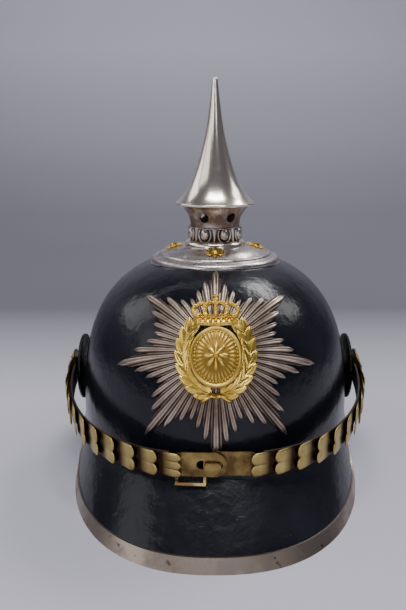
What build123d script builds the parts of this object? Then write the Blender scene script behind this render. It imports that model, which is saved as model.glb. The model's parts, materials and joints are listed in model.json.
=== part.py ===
from build123d import *
from math import asin, atan2, cos, degrees, hypot, pi, radians, sin, sqrt, tan
import os

# A spiked leather helmet, in millimetres. +Z is up, the wearer looks along -Y, and the
# wearer's right is -X. The origin is on the table, under the middle of the overall box.
os.makedirs("parts", exist_ok=True)

# Skull
skull_half_width = 92.0
skull_half_length = 110.0
skull_edge_height = 38.0
skull_top_height = 146.0
skull_fullness = 2.75
skull_wall = 2.6
level_shares = (0, 0.14, 0.3, 0.46, 0.6, 0.73, 0.84, 0.92, 0.975)
air_hole_radius = 8.5
outline_point_count = 28

# Visors
front_reach = 150.0
rear_reach = 146.0
visor_half_width = 97.0
front_fullness = 2.35
rear_fullness = 2.15
visor_leather = 2.4
flange_height = 7.0
flange_leather = 1.6
front_side_corner = -33.0
rear_side_corner = 66.0
side_rise_angle = 40.0
side_round_radius = 60.0
lining_skin = 0.8
rear_lining_margin = 2.5

# Visor trim
trim_sheet = 0.8
trim_band = 8.0
trim_front_rise = 6.0

# Headband and cloth cap inside
band_height = 25.0
band_leather = 1.3
band_bottom_height = 32.5
cap_cloth = 0.8
cap_lap = 8.0
cap_top_height = 128.0
cap_mouth_radius = 24.0
cap_fullness = 2.0
cap_slot_count = 8
cap_slot_width = 9.0
cap_slot_bottom_height = 92.0

# Spike base plate
plate_sheet = 1.2
plate_hole_radius = 12.0
plate_flat_radius = 20.0
plate_dome_end_radius = 35.0
plate_dome_drop = 4.6
plate_crown_height = 151.6
plate_inner_ring_orbit = 36.4
plate_inner_ring_radius = 2.2
plate_outer_ring_orbit = 41.2
plate_outer_ring_radius = 2.8
plate_ring_drop = 3.0
plate_skirt_radius = 45.2
plate_skirt_bottom_height = 136.0
plate_seat_gap = 0.1

# Spike neck
neck_waist_radius = 16.6
neck_band_top_height = 165.0
neck_mouth_radius = 23.6
neck_top_height = 179.4
neck_wall = 1.3
neck_ring_width = 4.2
neck_ring_height = 2.9
vent_count = 6
vent_radius = 3.2
vent_height = 171.8
vent_phase = -24.0
egg_count = 8
egg_radius = 2.4
egg_height = 160.2
egg_phase = -24.0

# Spike
spike_height = 82.0
spike_flange_radius = 27.0
spike_lip = 1.6
spike_tip_radius = 1.9
spike_sheet = 1.3
spike_height_shares = (0.06, 0.13, 0.26, 0.42, 0.58, 0.76)
spike_radius_shares = (0.84, 0.685, 0.505, 0.35, 0.232, 0.145)
spike_hollow_levels = 5
stud_radius = 5.0
stud_length = 15.0
stud_plate = 1.5
stud_plate_inset = 6.0
bush_bottom_height = 161.0
bush_boss_radius = 8.0
bush_boss_height = 10.0
bush_bridge = 2.5
bush_air_holes = 4
bush_air_radius = 2.4
bush_air_orbit = 11.6

# Studs that hold the base plate, and their nuts
base_stud_count = 4
base_stud_orbit = 28.0
base_stud_petals = 8
base_stud_petal_length = 6.2
base_stud_petal_width = 3.2
base_stud_petal_height = 1.0
base_stud_boss_radius = 2.8
base_stud_boss_height = 2.2
base_stud_shank_radius = 1.6
base_stud_shank_length = 12.5
nut_side = 8.0
nut_thickness = 2.4

# Star plate on the skull's front
star_height = 104.5
star_lean = 33.0
star_radius = 60.0
star_rays = 48
star_ray_shares = (1.0, 0.82, 0.71, 0.64, 0.71, 0.82)
star_notch_share = 0.86
star_hub_radius = 14.0
star_step_shares = (0, 0.4, 0.75, 1)
star_ridge_rises = (3.1, 2.9, 2.5, 1.9)
star_valley_rises = (2.2, 2.1, 2.0, 1.9)
star_back_rise = 1.3
star_post_radius = 1.5
star_post_spread = 11.0
star_post_length = 8.5

# Gilt wreath, shield and crown over the star
wreath_half_width = 21.0
wreath_half_height = 23.5
wreath_stem_width = 3.0
wreath_rise = 3.5
wreath_sheet = 1.0
wreath_segments = 24
leaf_length = 10.0
leaf_width = 4.2
leaf_sheet = 1.9
leaf_splay = 24.0
leaf_offset = 2.3
leaves_per_side = 8
leaf_gap_angle = 40.0
shield_half_width = 16.0
shield_half_height = 17.6
shield_sheet = 1.6
shield_rim = 1.5
shield_rim_rise = 1.0
shield_gap = 1.0
rosette_petals = 8
rosette_petal_length = 4.6
rosette_petal_width = 3.2
rosette_orbit = 5.2
rosette_centre_radius = 2.4
relief_rise = 0.7
crown_place = 27.0
crown_width = 26.0
crown_band_width = 20.0
crown_band_height = 3.6
crown_arch_height = 9.5
crown_arch_wire = 1.9
crown_arches = 5
crown_sheet = 1.8
crown_rise = 3.7
crown_orb_radius = 1.9
crown_finial = 3.4
crown_finial_wire = 1.1

# Rear spine with its air slider
spine_half_width = 4.5
spine_sheet = 1.1
spine_top_height = 139.0
spine_bottom_height = 40.0
slider_height = 96.0
slider_pad_length = 26.0
slider_pad_rise = 2.0
slider_length = 14.0
slider_sheet = 1.2
slider_half_width = 3.4
slider_knob_radius = 1.6
slider_knob_height = 1.4
slider_travel = 8.0
spine_screw_radius = 2.2
spine_screw_head = 1.0
spine_screw_shank_radius = 1.0
spine_screw_shank_length = 5.0
spine_screw_heights = (48.0, 124.0)

# Cockades and rosette screws at the sides
rosette_height = 64.0
cockade_radius = 23.0
cockade_sheet = 4.0
cockade_stand = 1.1
cockade_rim_share = 0.35
side_nut_gap = 0.9
cockade_boss_radius = 7.5
strap_stand = 100.0
side_head_radius = 8.5
side_head_height = 3.6
side_head_lobes = 6
side_shank_radius = 2.4
side_shank_reach = 6.0

# Chin strap of overlapping scales
strap_droop = 9.1
strap_front_stand = 117.0
strap_fullness = 2.4
scale_count = 10
scale_pitch = 13.3
scale_length = 19.0
scale_sheet = 0.8
scale_gap = 0.3
scale_side_width = 22.0
scale_front_width = 16.0
scale_root_inset = 1.0
lobe_depth = 2.6
eyelet_radius = 12.0
eyelet_tail = 24.0
strap_leather = 1.2
leather_start = 10.5
leather_front_past = 2.0
leather_point_count = 9
end_plate_past = 6.0
end_plate_round = 7.0
under_plate_past = 5.0
slot_length = 15.0
slot_width = 5.0
slot_hole_radius = 3.0
slot_end_wall = 2.0
button_length = 9.5
button_width = 4.3
button_sheet = 1.2
button_shank_radius = 1.3
button_inset = 1.2
frame_wire = 1.6
frame_width = 17.5
frame_drop = 6.0
frame_rise = 12.0
frame_place = 14.2

# Small fits
seat_gap = 0.05
hole_gap = 0.3
running_gap = 0.08
overrun = 20.0

# The skull's axis stands a little off the origin, so that the overall box is centred.
axis_y = (front_reach - rear_reach) / 2
base = Plane(origin=(0, axis_y, 0))
side_view = Plane(origin=(0, axis_y, 0), x_dir=(0, 1, 0), z_dir=(1, 0, 0))
front_view = Plane(origin=(0, axis_y, 0), x_dir=(1, 0, 0), z_dir=(0, -1, 0))
mid_axis = Axis((0, axis_y, 0), (0, 0, 1))


def save(built, name):
    """Labels a finished piece and writes it under the same name."""
    built.part.label = name
    export_step(built.part, f"parts/{name}.step")


def oval_share(share, fullness):
    """How far out a full oval still reaches at a share of its height."""
    return (1 - min(abs(share), 1) ** fullness) ** (1 / fullness)


def oval_points(half_width, half_length, fullness):
    """Points round a full oval, evenly spaced in angle, for one closed smooth curve."""
    points = []
    for number in range(outline_point_count):
        turn = 2 * pi * number / outline_point_count
        size = (abs(cos(turn)) ** fullness + abs(sin(turn)) ** fullness) ** (-1 / fullness)
        points.append((half_width * size * cos(turn), half_length * size * sin(turn)))
    return points


def dome_form(half_width, half_length, bottom, top, fullness):
    """A closed dome, lofted through ellipses whose sizes follow one full curve."""
    with BuildPart() as form:
        for share in level_shares:
            with BuildSketch(base.offset(bottom + (top - bottom) * share)):
                across = oval_share(share, fullness)
                Ellipse(half_width * across, half_length * across)
        loft()
    return form.part


def skull_form(grow):
    """The skull's own dome, grown outwards all round."""
    return dome_form(
        skull_half_width + grow,
        skull_half_length + grow,
        skull_edge_height,
        skull_top_height + grow,
        skull_fullness,
    )


def skull_level(radius, grow=0.0):
    """Height of the skull's surface where it crosses the side plane at a radius."""
    rise = skull_top_height + grow - skull_edge_height
    return skull_edge_height + rise * oval_share(radius / (skull_half_length + grow), skull_fullness)


def skull_front(across, height, grow=0.0):
    """How far the skull's surface stands from its axis, towards front or back."""
    share = (height - skull_edge_height) / (skull_top_height + grow - skull_edge_height)
    reach = oval_share(max(share, 0), skull_fullness)
    side_share = across / (skull_half_width + grow)
    return (skull_half_length + grow) * sqrt(max(reach**2 - side_share**2, 0))


def visor_form(reach, fullness, rim_grow, seam_grow, bottom=0.0):
    """The closed cone between the skull's edge and a visor's rim, grown at each end.
    It is ruled between matching points, and may start a little above the table."""
    steepness = hypot(reach - skull_half_length, skull_edge_height) / skull_edge_height
    rim = oval_points(visor_half_width + rim_grow, reach + rim_grow * steepness, fullness)
    seam = oval_points(skull_half_width + seam_grow, skull_half_length + seam_grow * steepness, 2)
    share = bottom / skull_edge_height
    low = [(a + (c - a) * share, b + (d - b) * share) for (a, b), (c, d) in zip(rim, seam)]
    with BuildPart() as form:
        for height, points in ((bottom, low), (skull_edge_height, seam)):
            with BuildSketch(base.offset(height)):
                with BuildLine():
                    Spline(*points, periodic=True)
                make_face()
        loft(ruled=True)
    return form.part


def visor_side(facing, corner, lift, climb_lift, top):
    """What is kept of a visor, seen from the side: its lower edge runs flat, then climbs.
    facing is -1 for the front visor and +1 for the rear one. The lifts raise the edge."""
    climb = radians(side_rise_angle)
    bottom_corner = corner + facing * (climb_lift - lift * cos(climb)) / sin(climb)
    top_corner = bottom_corner - facing * (top - lift) / tan(climb)
    far = facing * (max(front_reach, rear_reach) + overrun)
    with BuildPart() as keep:
        with BuildSketch(side_view):
            with BuildLine():
                edge = FilletPolyline(
                    (far, lift),
                    (bottom_corner, lift),
                    (top_corner, top),
                    radius=side_round_radius - climb_lift,
                )
                Polyline(edge @ 1, (far, top), edge @ 0)
            make_face()
        extrude(amount=visor_half_width + overrun, both=True)
    return keep.part


def square_nut(hole_radius):
    """A square nut on the current plane, its hole a clearance larger than the screw."""
    with BuildSketch():
        Rectangle(nut_side, nut_side)
        Circle(hole_radius + running_gap, mode=Mode.SUBTRACT)
    extrude(amount=nut_thickness)


# Skull shell, with its air hole and the holes of everything that is screwed to it.
skull_outer = skull_form(0)
skull_inner = skull_form(-skull_wall)
skull_seat = skull_form(plate_seat_gap)

# Places of the screws through the skull's crown, on the base plate's curved top.
dome_run = plate_dome_end_radius - plate_flat_radius
plate_curve_radius = (dome_run**2 + plate_dome_drop**2) / (2 * plate_dome_drop)
stud_slope = asin((base_stud_orbit - plate_flat_radius) / plate_curve_radius)
stud_seat_height = plate_crown_height - plate_curve_radius * (1 - cos(stud_slope))
base_stud_planes = []
for number in range(base_stud_count):
    turn = 2 * pi * number / base_stud_count
    outward = Vector(sin(turn), -cos(turn), 0)
    normal = outward * sin(stud_slope) + Vector(0, 0, cos(stud_slope))
    seat = Vector(0, axis_y, stud_seat_height) + outward * base_stud_orbit
    seat = seat + normal * (plate_sheet / 2 + seat_gap)
    base_stud_planes.append(Plane(origin=seat, x_dir=outward.cross(Vector(0, 0, 1)), z_dir=normal))

# Star plane: it touches the skull's front and leans back with it.
lean = radians(star_lean)
star_normal = Vector(0, -cos(lean), sin(lean))
star_centre = Vector(0, axis_y - skull_front(0, star_height), star_height)
star_plane = Plane(origin=star_centre, x_dir=(1, 0, 0), z_dir=star_normal)


def on_skull(across, up, rise):
    """The point that lies a rise above the skull, straight behind a place on the star plane."""
    flat = star_centre + star_plane.x_dir * across + star_plane.y_dir * up
    near, far = -skull_half_width, rise + skull_wall
    while far - near > seat_gap / 100:
        middle = (near + far) / 2
        point = flat + star_normal * middle
        inside = point.Z < skull_top_height + rise and axis_y - point.Y < skull_front(
            point.X, point.Z, rise
        )
        near, far = (middle, far) if inside else (near, middle)
    return flat + star_normal * near


def plane_on_skull(across, up, rise, turn=0.0):
    """A plane that lies on the skull there, with its X turned from the star's own X."""
    step = skull_wall
    point = on_skull(across, up, rise)
    along = on_skull(across + step, up, rise) - on_skull(across - step, up, rise)
    upward = on_skull(across, up + step, rise) - on_skull(across, up - step, rise)
    normal = along.cross(upward).normalized()
    x_dir = along.normalized() * cos(turn) + normal.cross(along.normalized()) * sin(turn)
    return Plane(origin=point, x_dir=x_dir, z_dir=normal)


star_post_planes = [
    Plane(origin=on_skull(0, up, star_back_rise + seat_gap), x_dir=(1, 0, 0), z_dir=star_normal)
    for up in (-star_post_spread, star_post_spread)
]
side_planes = {
    "left": Plane(origin=(0, axis_y, rosette_height), x_dir=(0, -1, 0), z_dir=(1, 0, 0)),
    "right": Plane(origin=(0, axis_y, rosette_height), x_dir=(0, -1, 0), z_dir=(-1, 0, 0)),
}

# Spine planes: square to the skull's back at a height, X to the wearer's left.
def spine_plane(height, rise):
    step = skull_wall
    low = Vector(0, axis_y + skull_front(0, height - step, rise), height - step)
    high = Vector(0, axis_y + skull_front(0, height + step, rise), height + step)
    upward = (high - low).normalized()
    normal = Vector(1, 0, 0).cross(upward) * -1
    place = Vector(0, axis_y + skull_front(0, height, rise), height)
    return Plane(origin=place, x_dir=upward.cross(normal), z_dir=normal)


with BuildPart() as skull_shell:
    add(skull_outer)
    add(skull_inner, mode=Mode.SUBTRACT)
    with BuildSketch(base.offset(skull_top_height - 2 * skull_wall)):
        Circle(air_hole_radius)
    extrude(amount=3 * skull_wall, mode=Mode.SUBTRACT)
    for plane in base_stud_planes:
        with BuildSketch(plane.offset(-base_stud_shank_length)):
            Circle(base_stud_shank_radius + hole_gap)
        extrude(amount=base_stud_shank_length, mode=Mode.SUBTRACT)
    for plane in star_post_planes:
        with BuildSketch(plane.offset(-star_post_length)):
            Circle(star_post_radius + hole_gap)
        extrude(amount=star_post_length + skull_wall, mode=Mode.SUBTRACT)
    for plane in side_planes.values():
        with BuildSketch(plane.offset(skull_half_width / 2)):
            Circle(side_shank_radius + hole_gap)
        extrude(amount=skull_half_width, mode=Mode.SUBTRACT)
    for height in spine_screw_heights:
        with BuildSketch(spine_plane(height, 0).offset(-2 * skull_wall)):
            Circle(spine_screw_shank_radius + hole_gap)
        extrude(amount=3 * skull_wall, mode=Mode.SUBTRACT)
    with BuildSketch(spine_plane(slider_height, 0).offset(-2 * skull_wall)):
        Circle(spine_screw_radius)
    extrude(amount=3 * skull_wall, mode=Mode.SUBTRACT)
save(skull_shell, "skull_shell")

# Visors: each is a leather cone under the skull's edge, with a flange sewn inside it.
trim_grow = trim_sheet + seat_gap
visors = {
    "front": (-1, front_reach, front_fullness, front_side_corner, -trim_grow, trim_grow),
    "rear": (1, rear_reach, rear_fullness, rear_side_corner, 0, 0),
}
for name, (facing, reach, fullness, corner, rim_grow, lift) in visors.items():
    visor_outer = visor_form(reach, fullness, rim_grow, 0, lift)
    visor_inner = visor_form(reach, fullness, rim_grow - visor_leather, -visor_leather, lift)
    flange_corner = corner + facing * flange_height / tan(radians(side_rise_angle))
    flange_top = skull_edge_height + flange_height
    flange_grow = skull_wall + seat_gap
    with BuildPart() as visor:
        with BuildSketch(base.offset(skull_edge_height)):
            Ellipse(skull_half_width - flange_grow, skull_half_length - flange_grow)
            flange_grow = flange_grow + flange_leather
            Ellipse(skull_half_width - flange_grow, skull_half_length - flange_grow, mode=Mode.SUBTRACT)
        extrude(amount=flange_height)
        add(visor_side(facing, flange_corner, 0, 0, flange_top), mode=Mode.INTERSECT)
        add((visor_outer - visor_inner) & visor_side(facing, corner, lift, lift, skull_edge_height))
    save(visor, f"{name}_visor")

    lining_grow = visor_leather + seat_gap
    lining_lift = trim_front_rise + seat_gap if facing < 0 else rear_lining_margin
    climb_lift = trim_band + seat_gap if facing < 0 else rear_lining_margin
    with BuildPart() as visor_lining:
        add(visor_form(reach, fullness, rim_grow - lining_grow, -lining_grow))
        skin_grow = lining_grow + lining_skin
        add(visor_form(reach, fullness, rim_grow - skin_grow, -skin_grow), mode=Mode.SUBTRACT)
        add(visor_side(facing, corner, lining_lift, climb_lift, skull_edge_height - seat_gap), mode=Mode.INTERSECT)
    save(visor_lining, f"{name}_visor_lining")

# Trim: a folded sheet round the front visor's rim, with an outer leaf, an inner leaf and
# the fold between them. The rim stands in the channel, a little clear of all three.
trim_top = skull_edge_height - hole_gap
fold_grow = visor_leather + 2 * seat_gap
trim_side = visor_side(-1, front_side_corner, 0, 0, trim_top)
above_band = visor_side(-1, front_side_corner, trim_front_rise, trim_band, skull_edge_height + overrun)
above_fold = visor_side(-1, front_side_corner, trim_sheet, trim_sheet, skull_edge_height + overrun)
leaf_forms = [
    visor_form(front_reach, front_fullness, -grow, trim_grow - grow)
    for grow in (0, trim_sheet, trim_sheet + fold_grow, 2 * trim_sheet + fold_grow)
]
with BuildPart() as front_visor_trim:
    add((leaf_forms[0] - leaf_forms[1]) & (trim_side - above_band))
    front_visor_trim.part = Compound(
        front_visor_trim.solids()
        + ((leaf_forms[1] - leaf_forms[2]) & (trim_side - above_fold)).solids()
        + ((leaf_forms[2] - leaf_forms[3]) & (trim_side - above_band)).solids()
    )
save(front_visor_trim, "front_visor_trim")

# Headband of leather, standing just inside the skull and the visors' flanges.
band_inset = skull_wall + flange_leather + 2 * seat_gap + hole_gap
band_half_width = skull_half_width - band_inset
band_half_length = skull_half_length - band_inset
with BuildPart() as sweatband:
    with BuildSketch(base.offset(band_bottom_height)):
        Ellipse(band_half_width, band_half_length)
        Ellipse(band_half_width - band_leather, band_half_length - band_leather, mode=Mode.SUBTRACT)
    extrude(amount=band_height)
save(sweatband, "sweatband")

# Cloth cap with fingers, drawn together round a mouth at the top.
cap_inset = band_leather + hole_gap
cap_bottom_height = band_bottom_height + band_height - cap_lap
cap_half_width = band_half_width - cap_inset
cap_half_length = band_half_length - cap_inset
with BuildPart() as crown_lining:
    add(dome_form(cap_half_width, cap_half_length, cap_bottom_height, cap_top_height, cap_fullness))
    add(
        dome_form(
            cap_half_width - cap_cloth,
            cap_half_length - cap_cloth,
            cap_bottom_height,
            cap_top_height - cap_cloth,
            cap_fullness,
        ),
        mode=Mode.SUBTRACT,
    )
    with BuildSketch(base.offset(cap_slot_bottom_height)):
        slot_middle = (skull_half_length - cap_slot_width) / 2 + cap_mouth_radius
        with PolarLocations(slot_middle, cap_slot_count, start_angle=360 / cap_slot_count / 2):
            Rectangle(skull_half_length, cap_slot_width)
    extrude(amount=skull_top_height, mode=Mode.SUBTRACT)
    with BuildSketch(base.offset(cap_slot_bottom_height)):
        Circle(cap_mouth_radius)
    extrude(amount=skull_top_height, mode=Mode.SUBTRACT)
save(crown_lining, "crown_lining")

# Base plate: sheet metal drawn over the crown, with two beads round its rim.
ring_height = plate_crown_height - plate_dome_drop - plate_ring_drop / 2
with BuildPart() as base_plate:
    with BuildSketch(front_view):
        with BuildLine():
            flat = Line((plate_hole_radius, plate_crown_height), (plate_flat_radius, plate_crown_height))
            dome_end = (plate_dome_end_radius, plate_crown_height - plate_dome_drop)
            curve = TangentArc(flat @ 1, dome_end, tangent=(1, 0))
            Polyline(
                curve @ 1,
                (plate_outer_ring_orbit, ring_height - plate_ring_drop / 2),
                (plate_skirt_radius - plate_sheet / 2, ring_height - 2 * plate_ring_drop),
                (plate_skirt_radius - plate_sheet / 2, plate_skirt_bottom_height),
            )
        trace(line_width=plate_sheet)
        with Locations((plate_inner_ring_orbit, ring_height)):
            Circle(plate_inner_ring_radius)
        with Locations((plate_outer_ring_orbit, ring_height - plate_ring_drop)):
            Circle(plate_outer_ring_radius)
    revolve(axis=mid_axis)
    add(skull_seat, mode=Mode.SUBTRACT)
    for plane in base_stud_planes:
        with BuildSketch(plane.offset(-base_stud_shank_length)):
            Circle(base_stud_shank_radius + hole_gap)
        extrude(amount=base_stud_shank_length + plate_sheet, mode=Mode.SUBTRACT)
save(base_plate, "base_plate")

# Star-headed studs through the base plate and the skull, each with a square nut inside.
with BuildPart() as base_studs:
    for plane in base_stud_planes:
        with BuildSketch(plane):
            with PolarLocations(base_stud_petal_length / 2, base_stud_petals):
                Ellipse(base_stud_petal_length / 2, base_stud_petal_width / 2)
            Circle(base_stud_boss_radius)
        extrude(amount=base_stud_petal_height)
        with BuildSketch(plane):
            Circle(base_stud_boss_radius)
        extrude(amount=base_stud_boss_height, taper=25)
        with BuildSketch(plane.offset(-base_stud_shank_length)):
            Circle(base_stud_shank_radius)
        extrude(amount=base_stud_shank_length + base_stud_petal_height)
save(base_studs, "base_studs")

nut_drop = stud_seat_height - skull_level(base_stud_orbit, -skull_wall) + nut_thickness + plate_sheet
with BuildPart() as base_stud_nuts:
    for plane in base_stud_planes:
        with BuildSketch(plane.offset(-nut_drop - hole_gap)):
            Rectangle(nut_side, nut_side)
            Circle(base_stud_shank_radius + running_gap, mode=Mode.SUBTRACT)
        extrude(amount=nut_thickness)
    add(skull_form(-skull_wall - seat_gap), mode=Mode.INTERSECT)
save(base_stud_nuts, "base_stud_nuts")

# Neck of the spike: a drawn tube that flares upwards, with air holes and a row of eggs.
neck_foot_height = plate_crown_height + plate_sheet / 2 + seat_gap
with BuildPart() as spike_neck:
    with BuildSketch(front_view):
        with BuildLine():
            centre = neck_waist_radius - neck_wall / 2
            waist = Line((centre, neck_foot_height), (centre, neck_band_top_height))
            TangentArc(waist @ 1, (neck_mouth_radius - neck_wall / 2, neck_top_height), tangent=(0, 1))
        trace(line_width=neck_wall)
    revolve(axis=mid_axis)
    for number in range(egg_count):
        turn = radians(egg_phase) + 2 * pi * number / egg_count
        with Locations((neck_waist_radius * sin(turn), axis_y - neck_waist_radius * cos(turn), egg_height)):
            Sphere(egg_radius)
    with BuildSketch(base.offset(neck_foot_height)):
        Circle(neck_waist_radius - neck_wall)
    extrude(amount=neck_band_top_height - neck_foot_height, mode=Mode.SUBTRACT)
    for number in range(vent_count):
        turn = radians(vent_phase) + 2 * pi * number / vent_count
        outward = Vector(sin(turn), -cos(turn), 0)
        with BuildSketch(Plane(origin=(0, axis_y, vent_height), x_dir=(0, 0, 1), z_dir=outward)):
            Circle(vent_radius)
        extrude(amount=neck_mouth_radius + neck_wall, mode=Mode.SUBTRACT)
save(spike_neck, "spike_neck")

with BuildPart() as neck_ring:
    with BuildSketch(front_view):
        with BuildLine():
            inner = neck_waist_radius + seat_gap
            EllipticalCenterArc(
                (inner + neck_ring_width / 2, neck_foot_height),
                neck_ring_width / 2,
                neck_ring_height,
                start_angle=0,
                arc_size=180,
            )
            Line((inner, neck_foot_height), (inner + neck_ring_width, neck_foot_height))
        make_face()
    revolve(axis=mid_axis)
save(neck_ring, "neck_ring")

# Bush that the spike screws into, on a bridge across the neck.
with BuildPart() as spike_bush:
    with BuildSketch(base.offset(bush_bottom_height)):
        Circle(neck_waist_radius - neck_wall - seat_gap)
        with PolarLocations(bush_air_orbit, bush_air_holes):
            Circle(bush_air_radius, mode=Mode.SUBTRACT)
    extrude(amount=bush_bridge)
    with BuildSketch(base.offset(bush_bottom_height)):
        Circle(bush_boss_radius)
    extrude(amount=bush_boss_height)
    with BuildSketch(base.offset(bush_bottom_height)):
        Circle(stud_radius + running_gap)
    extrude(amount=bush_boss_height, mode=Mode.SUBTRACT)
save(spike_bush, "spike_bush")

# Spike: spun sheet, wide at its flange and drawn to a rounded tip.
spike_foot_height = neck_top_height + hole_gap
spike_outer = [
    (spike_flange_radius * radius, spike_foot_height + spike_height * height)
    for radius, height in zip(spike_radius_shares, spike_height_shares)
]
tip_height = spike_foot_height + spike_height
with BuildPart() as spike:
    with BuildSketch(front_view):
        with BuildLine():
            lip = ThreePointArc(
                (spike_flange_radius - spike_lip, spike_foot_height),
                (spike_flange_radius, spike_foot_height + spike_lip / 2),
                (spike_flange_radius - spike_lip / 2, spike_foot_height + spike_lip),
            )
            flank = Spline(lip @ 1, *spike_outer, (spike_tip_radius, tip_height - spike_tip_radius))
            ball = ThreePointArc(
                flank @ 1,
                (spike_tip_radius * cos(pi / 4), tip_height - spike_tip_radius * (1 - sin(pi / 4))),
                (0, tip_height),
            )
            inner_points = [
                (radius - spike_sheet, height) for radius, height in spike_outer[:spike_hollow_levels]
            ]
            hollow_top = (0, inner_points[-1][1] + spike_lip)
            inside = Spline((spike_flange_radius - 2 * spike_lip, spike_foot_height), *inner_points)
            Polyline(ball @ 1, hollow_top, inside @ 1)
            Line(inside @ 0, lip @ 0)
        make_face()
    revolve(axis=mid_axis)
save(spike, "spike")

with BuildPart() as spike_stud:
    with BuildSketch(base.offset(spike_foot_height + seat_gap)):
        Circle(spike_flange_radius * spike_radius_shares[0] - spike_sheet - stud_plate_inset / 4)
    extrude(amount=stud_plate)
    with BuildSketch(base.offset(spike_foot_height + seat_gap - stud_length)):
        Circle(stud_radius)
    extrude(amount=stud_length)
save(spike_stud, "spike_stud")


# Star plate: rays with a ridge along each, following the skull. It is one closed skin of
# small flat faces between rings of points, from the middle of its back round to its front.
def faceted(rings, first_middle, last_middle):
    """A closed solid of triangles between rings of equally many points."""
    faces = []
    count = len(rings[0])
    for number in range(count):
        after = (number + 1) % count
        corners = [(first_middle, rings[0][after], rings[0][number])]
        for low, high in zip(rings, rings[1:]):
            corners.append((low[number], low[after], high[after]))
            corners.append((low[number], high[after], high[number]))
        corners.append((last_middle, rings[-1][number], rings[-1][after]))
        faces.extend(Face(Wire.make_polygon(corner, close=True)) for corner in corners)
    return Solid(Shell(faces))


def star_ring(step_share, ridge_rise, valley_rise):
    """Points round the star at one step from its hub to its tips, ridge and valley in turn."""
    points = []
    for ray in range(star_rays):
        here = star_ray_shares[ray % len(star_ray_shares)]
        there = star_ray_shares[(ray + 1) % len(star_ray_shares)]
        ends = (here, min(here, there) * star_notch_share)
        for half_step, (end, rise) in enumerate(zip(ends, (ridge_rise, valley_rise))):
            turn = pi / 2 + 2 * pi * (ray + half_step / 2) / star_rays
            reach = star_hub_radius + (star_radius * end - star_hub_radius) * step_share
            points.append(on_skull(reach * cos(turn), reach * sin(turn), rise))
    return points


back_rings = [star_ring(share, star_back_rise, star_back_rise) for share in star_step_shares]
front_rings = [
    star_ring(share, ridge, valley)
    for share, ridge, valley in zip(star_step_shares, star_ridge_rises, star_valley_rises)
]
star_skin = faceted(
    back_rings + front_rings[::-1],
    on_skull(0, 0, star_back_rise),
    on_skull(0, 0, star_ridge_rises[0]),
)
with BuildPart() as star_plate:
    add(star_skin)
    for plane in star_post_planes:
        with BuildSketch(plane.offset(-star_post_length)):
            Circle(star_post_radius)
        extrude(amount=star_post_length + star_valley_rises[0])
save(star_plate, "star_plate")

with BuildPart() as star_nuts:
    for plane in star_post_planes:
        with BuildSketch(plane.offset(-star_post_length + seat_gap)):
            Rectangle(nut_side, nut_side)
            Circle(star_post_radius + running_gap, mode=Mode.SUBTRACT)
        extrude(amount=nut_thickness)
save(star_nuts, "star_nuts")


# Wreath: two sprays of paired leaves on a stem that bends round the shield.
def wreath_place(angle, offset=0.0):
    """A place on the wreath's stem; angles are counted from its foot."""
    return (
        (wreath_half_width + offset) * sin(radians(angle)),
        -(wreath_half_height + offset) * cos(radians(angle)),
    )


def stem_ring(offset, rise):
    turns = [360 * number / wreath_segments for number in range(wreath_segments)]
    return [on_skull(*wreath_place(turn, offset), rise) for turn in turns]


def closed_band(rings):
    """A closed solid round a ring-shaped band, from its four corner rings."""
    faces = []
    count = len(rings[0])
    for low, high in zip(rings, rings[1:] + rings[:1]):
        for number in range(count):
            after = (number + 1) % count
            for corner in (
                (low[number], low[after], high[after]),
                (low[number], high[after], high[number]),
            ):
                faces.append(Face(Wire.make_polygon(corner, close=True)))
    return Solid(Shell(faces))


half_stem = wreath_stem_width / 2
stem_rings = [
    stem_ring(-half_stem, wreath_rise),
    stem_ring(half_stem, wreath_rise),
    stem_ring(half_stem, wreath_rise + wreath_sheet),
    stem_ring(-half_stem, wreath_rise + wreath_sheet),
]
with BuildPart() as wreath:
    add(closed_band(stem_rings))
    for side in (-1, 1):
        for number in range(leaves_per_side):
            angle = leaf_gap_angle / 2 + (360 - 3 * leaf_gap_angle) / 2 * number / (leaves_per_side - 1)
            for row in (-1, 1):
                across, up = wreath_place(side * angle, row * leaf_offset)
                along = atan2(wreath_half_height * sin(radians(angle)), side * wreath_half_width * cos(radians(angle)))
                splay = -side * row * radians(leaf_splay)
                place = plane_on_skull(across, up, wreath_rise, along + splay)
                with BuildSketch(place):
                    with BuildLine():
                        ThreePointArc((-leaf_length / 2, 0), (0, leaf_width / 2), (leaf_length / 2, 0))
                        ThreePointArc((-leaf_length / 2, 0), (0, -leaf_width / 2), (leaf_length / 2, 0))
                    make_face()
                extrude(amount=leaf_sheet)
save(wreath, "wreath")

# Shield: an oval with a raised rim, eight petals and a pearl in the middle.
shield_plane = star_plane.offset(star_ridge_rises[0] + shield_gap)
with BuildPart() as shield:
    with BuildSketch(shield_plane):
        Ellipse(shield_half_width, shield_half_height)
    extrude(amount=shield_sheet)
    shield_front = shield_plane.offset(shield_sheet)
    with BuildSketch(shield_front):
        Ellipse(shield_half_width, shield_half_height)
        Ellipse(shield_half_width - shield_rim, shield_half_height - shield_rim, mode=Mode.SUBTRACT)
    extrude(amount=shield_rim_rise)
    with BuildSketch(shield_front):
        with PolarLocations(rosette_orbit, rosette_petals):
            Ellipse(rosette_petal_length / 2, rosette_petal_width / 2)
    extrude(amount=relief_rise)
    with Locations(shield_front):
        Sphere(rosette_centre_radius)
save(shield, "shield")

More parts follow.
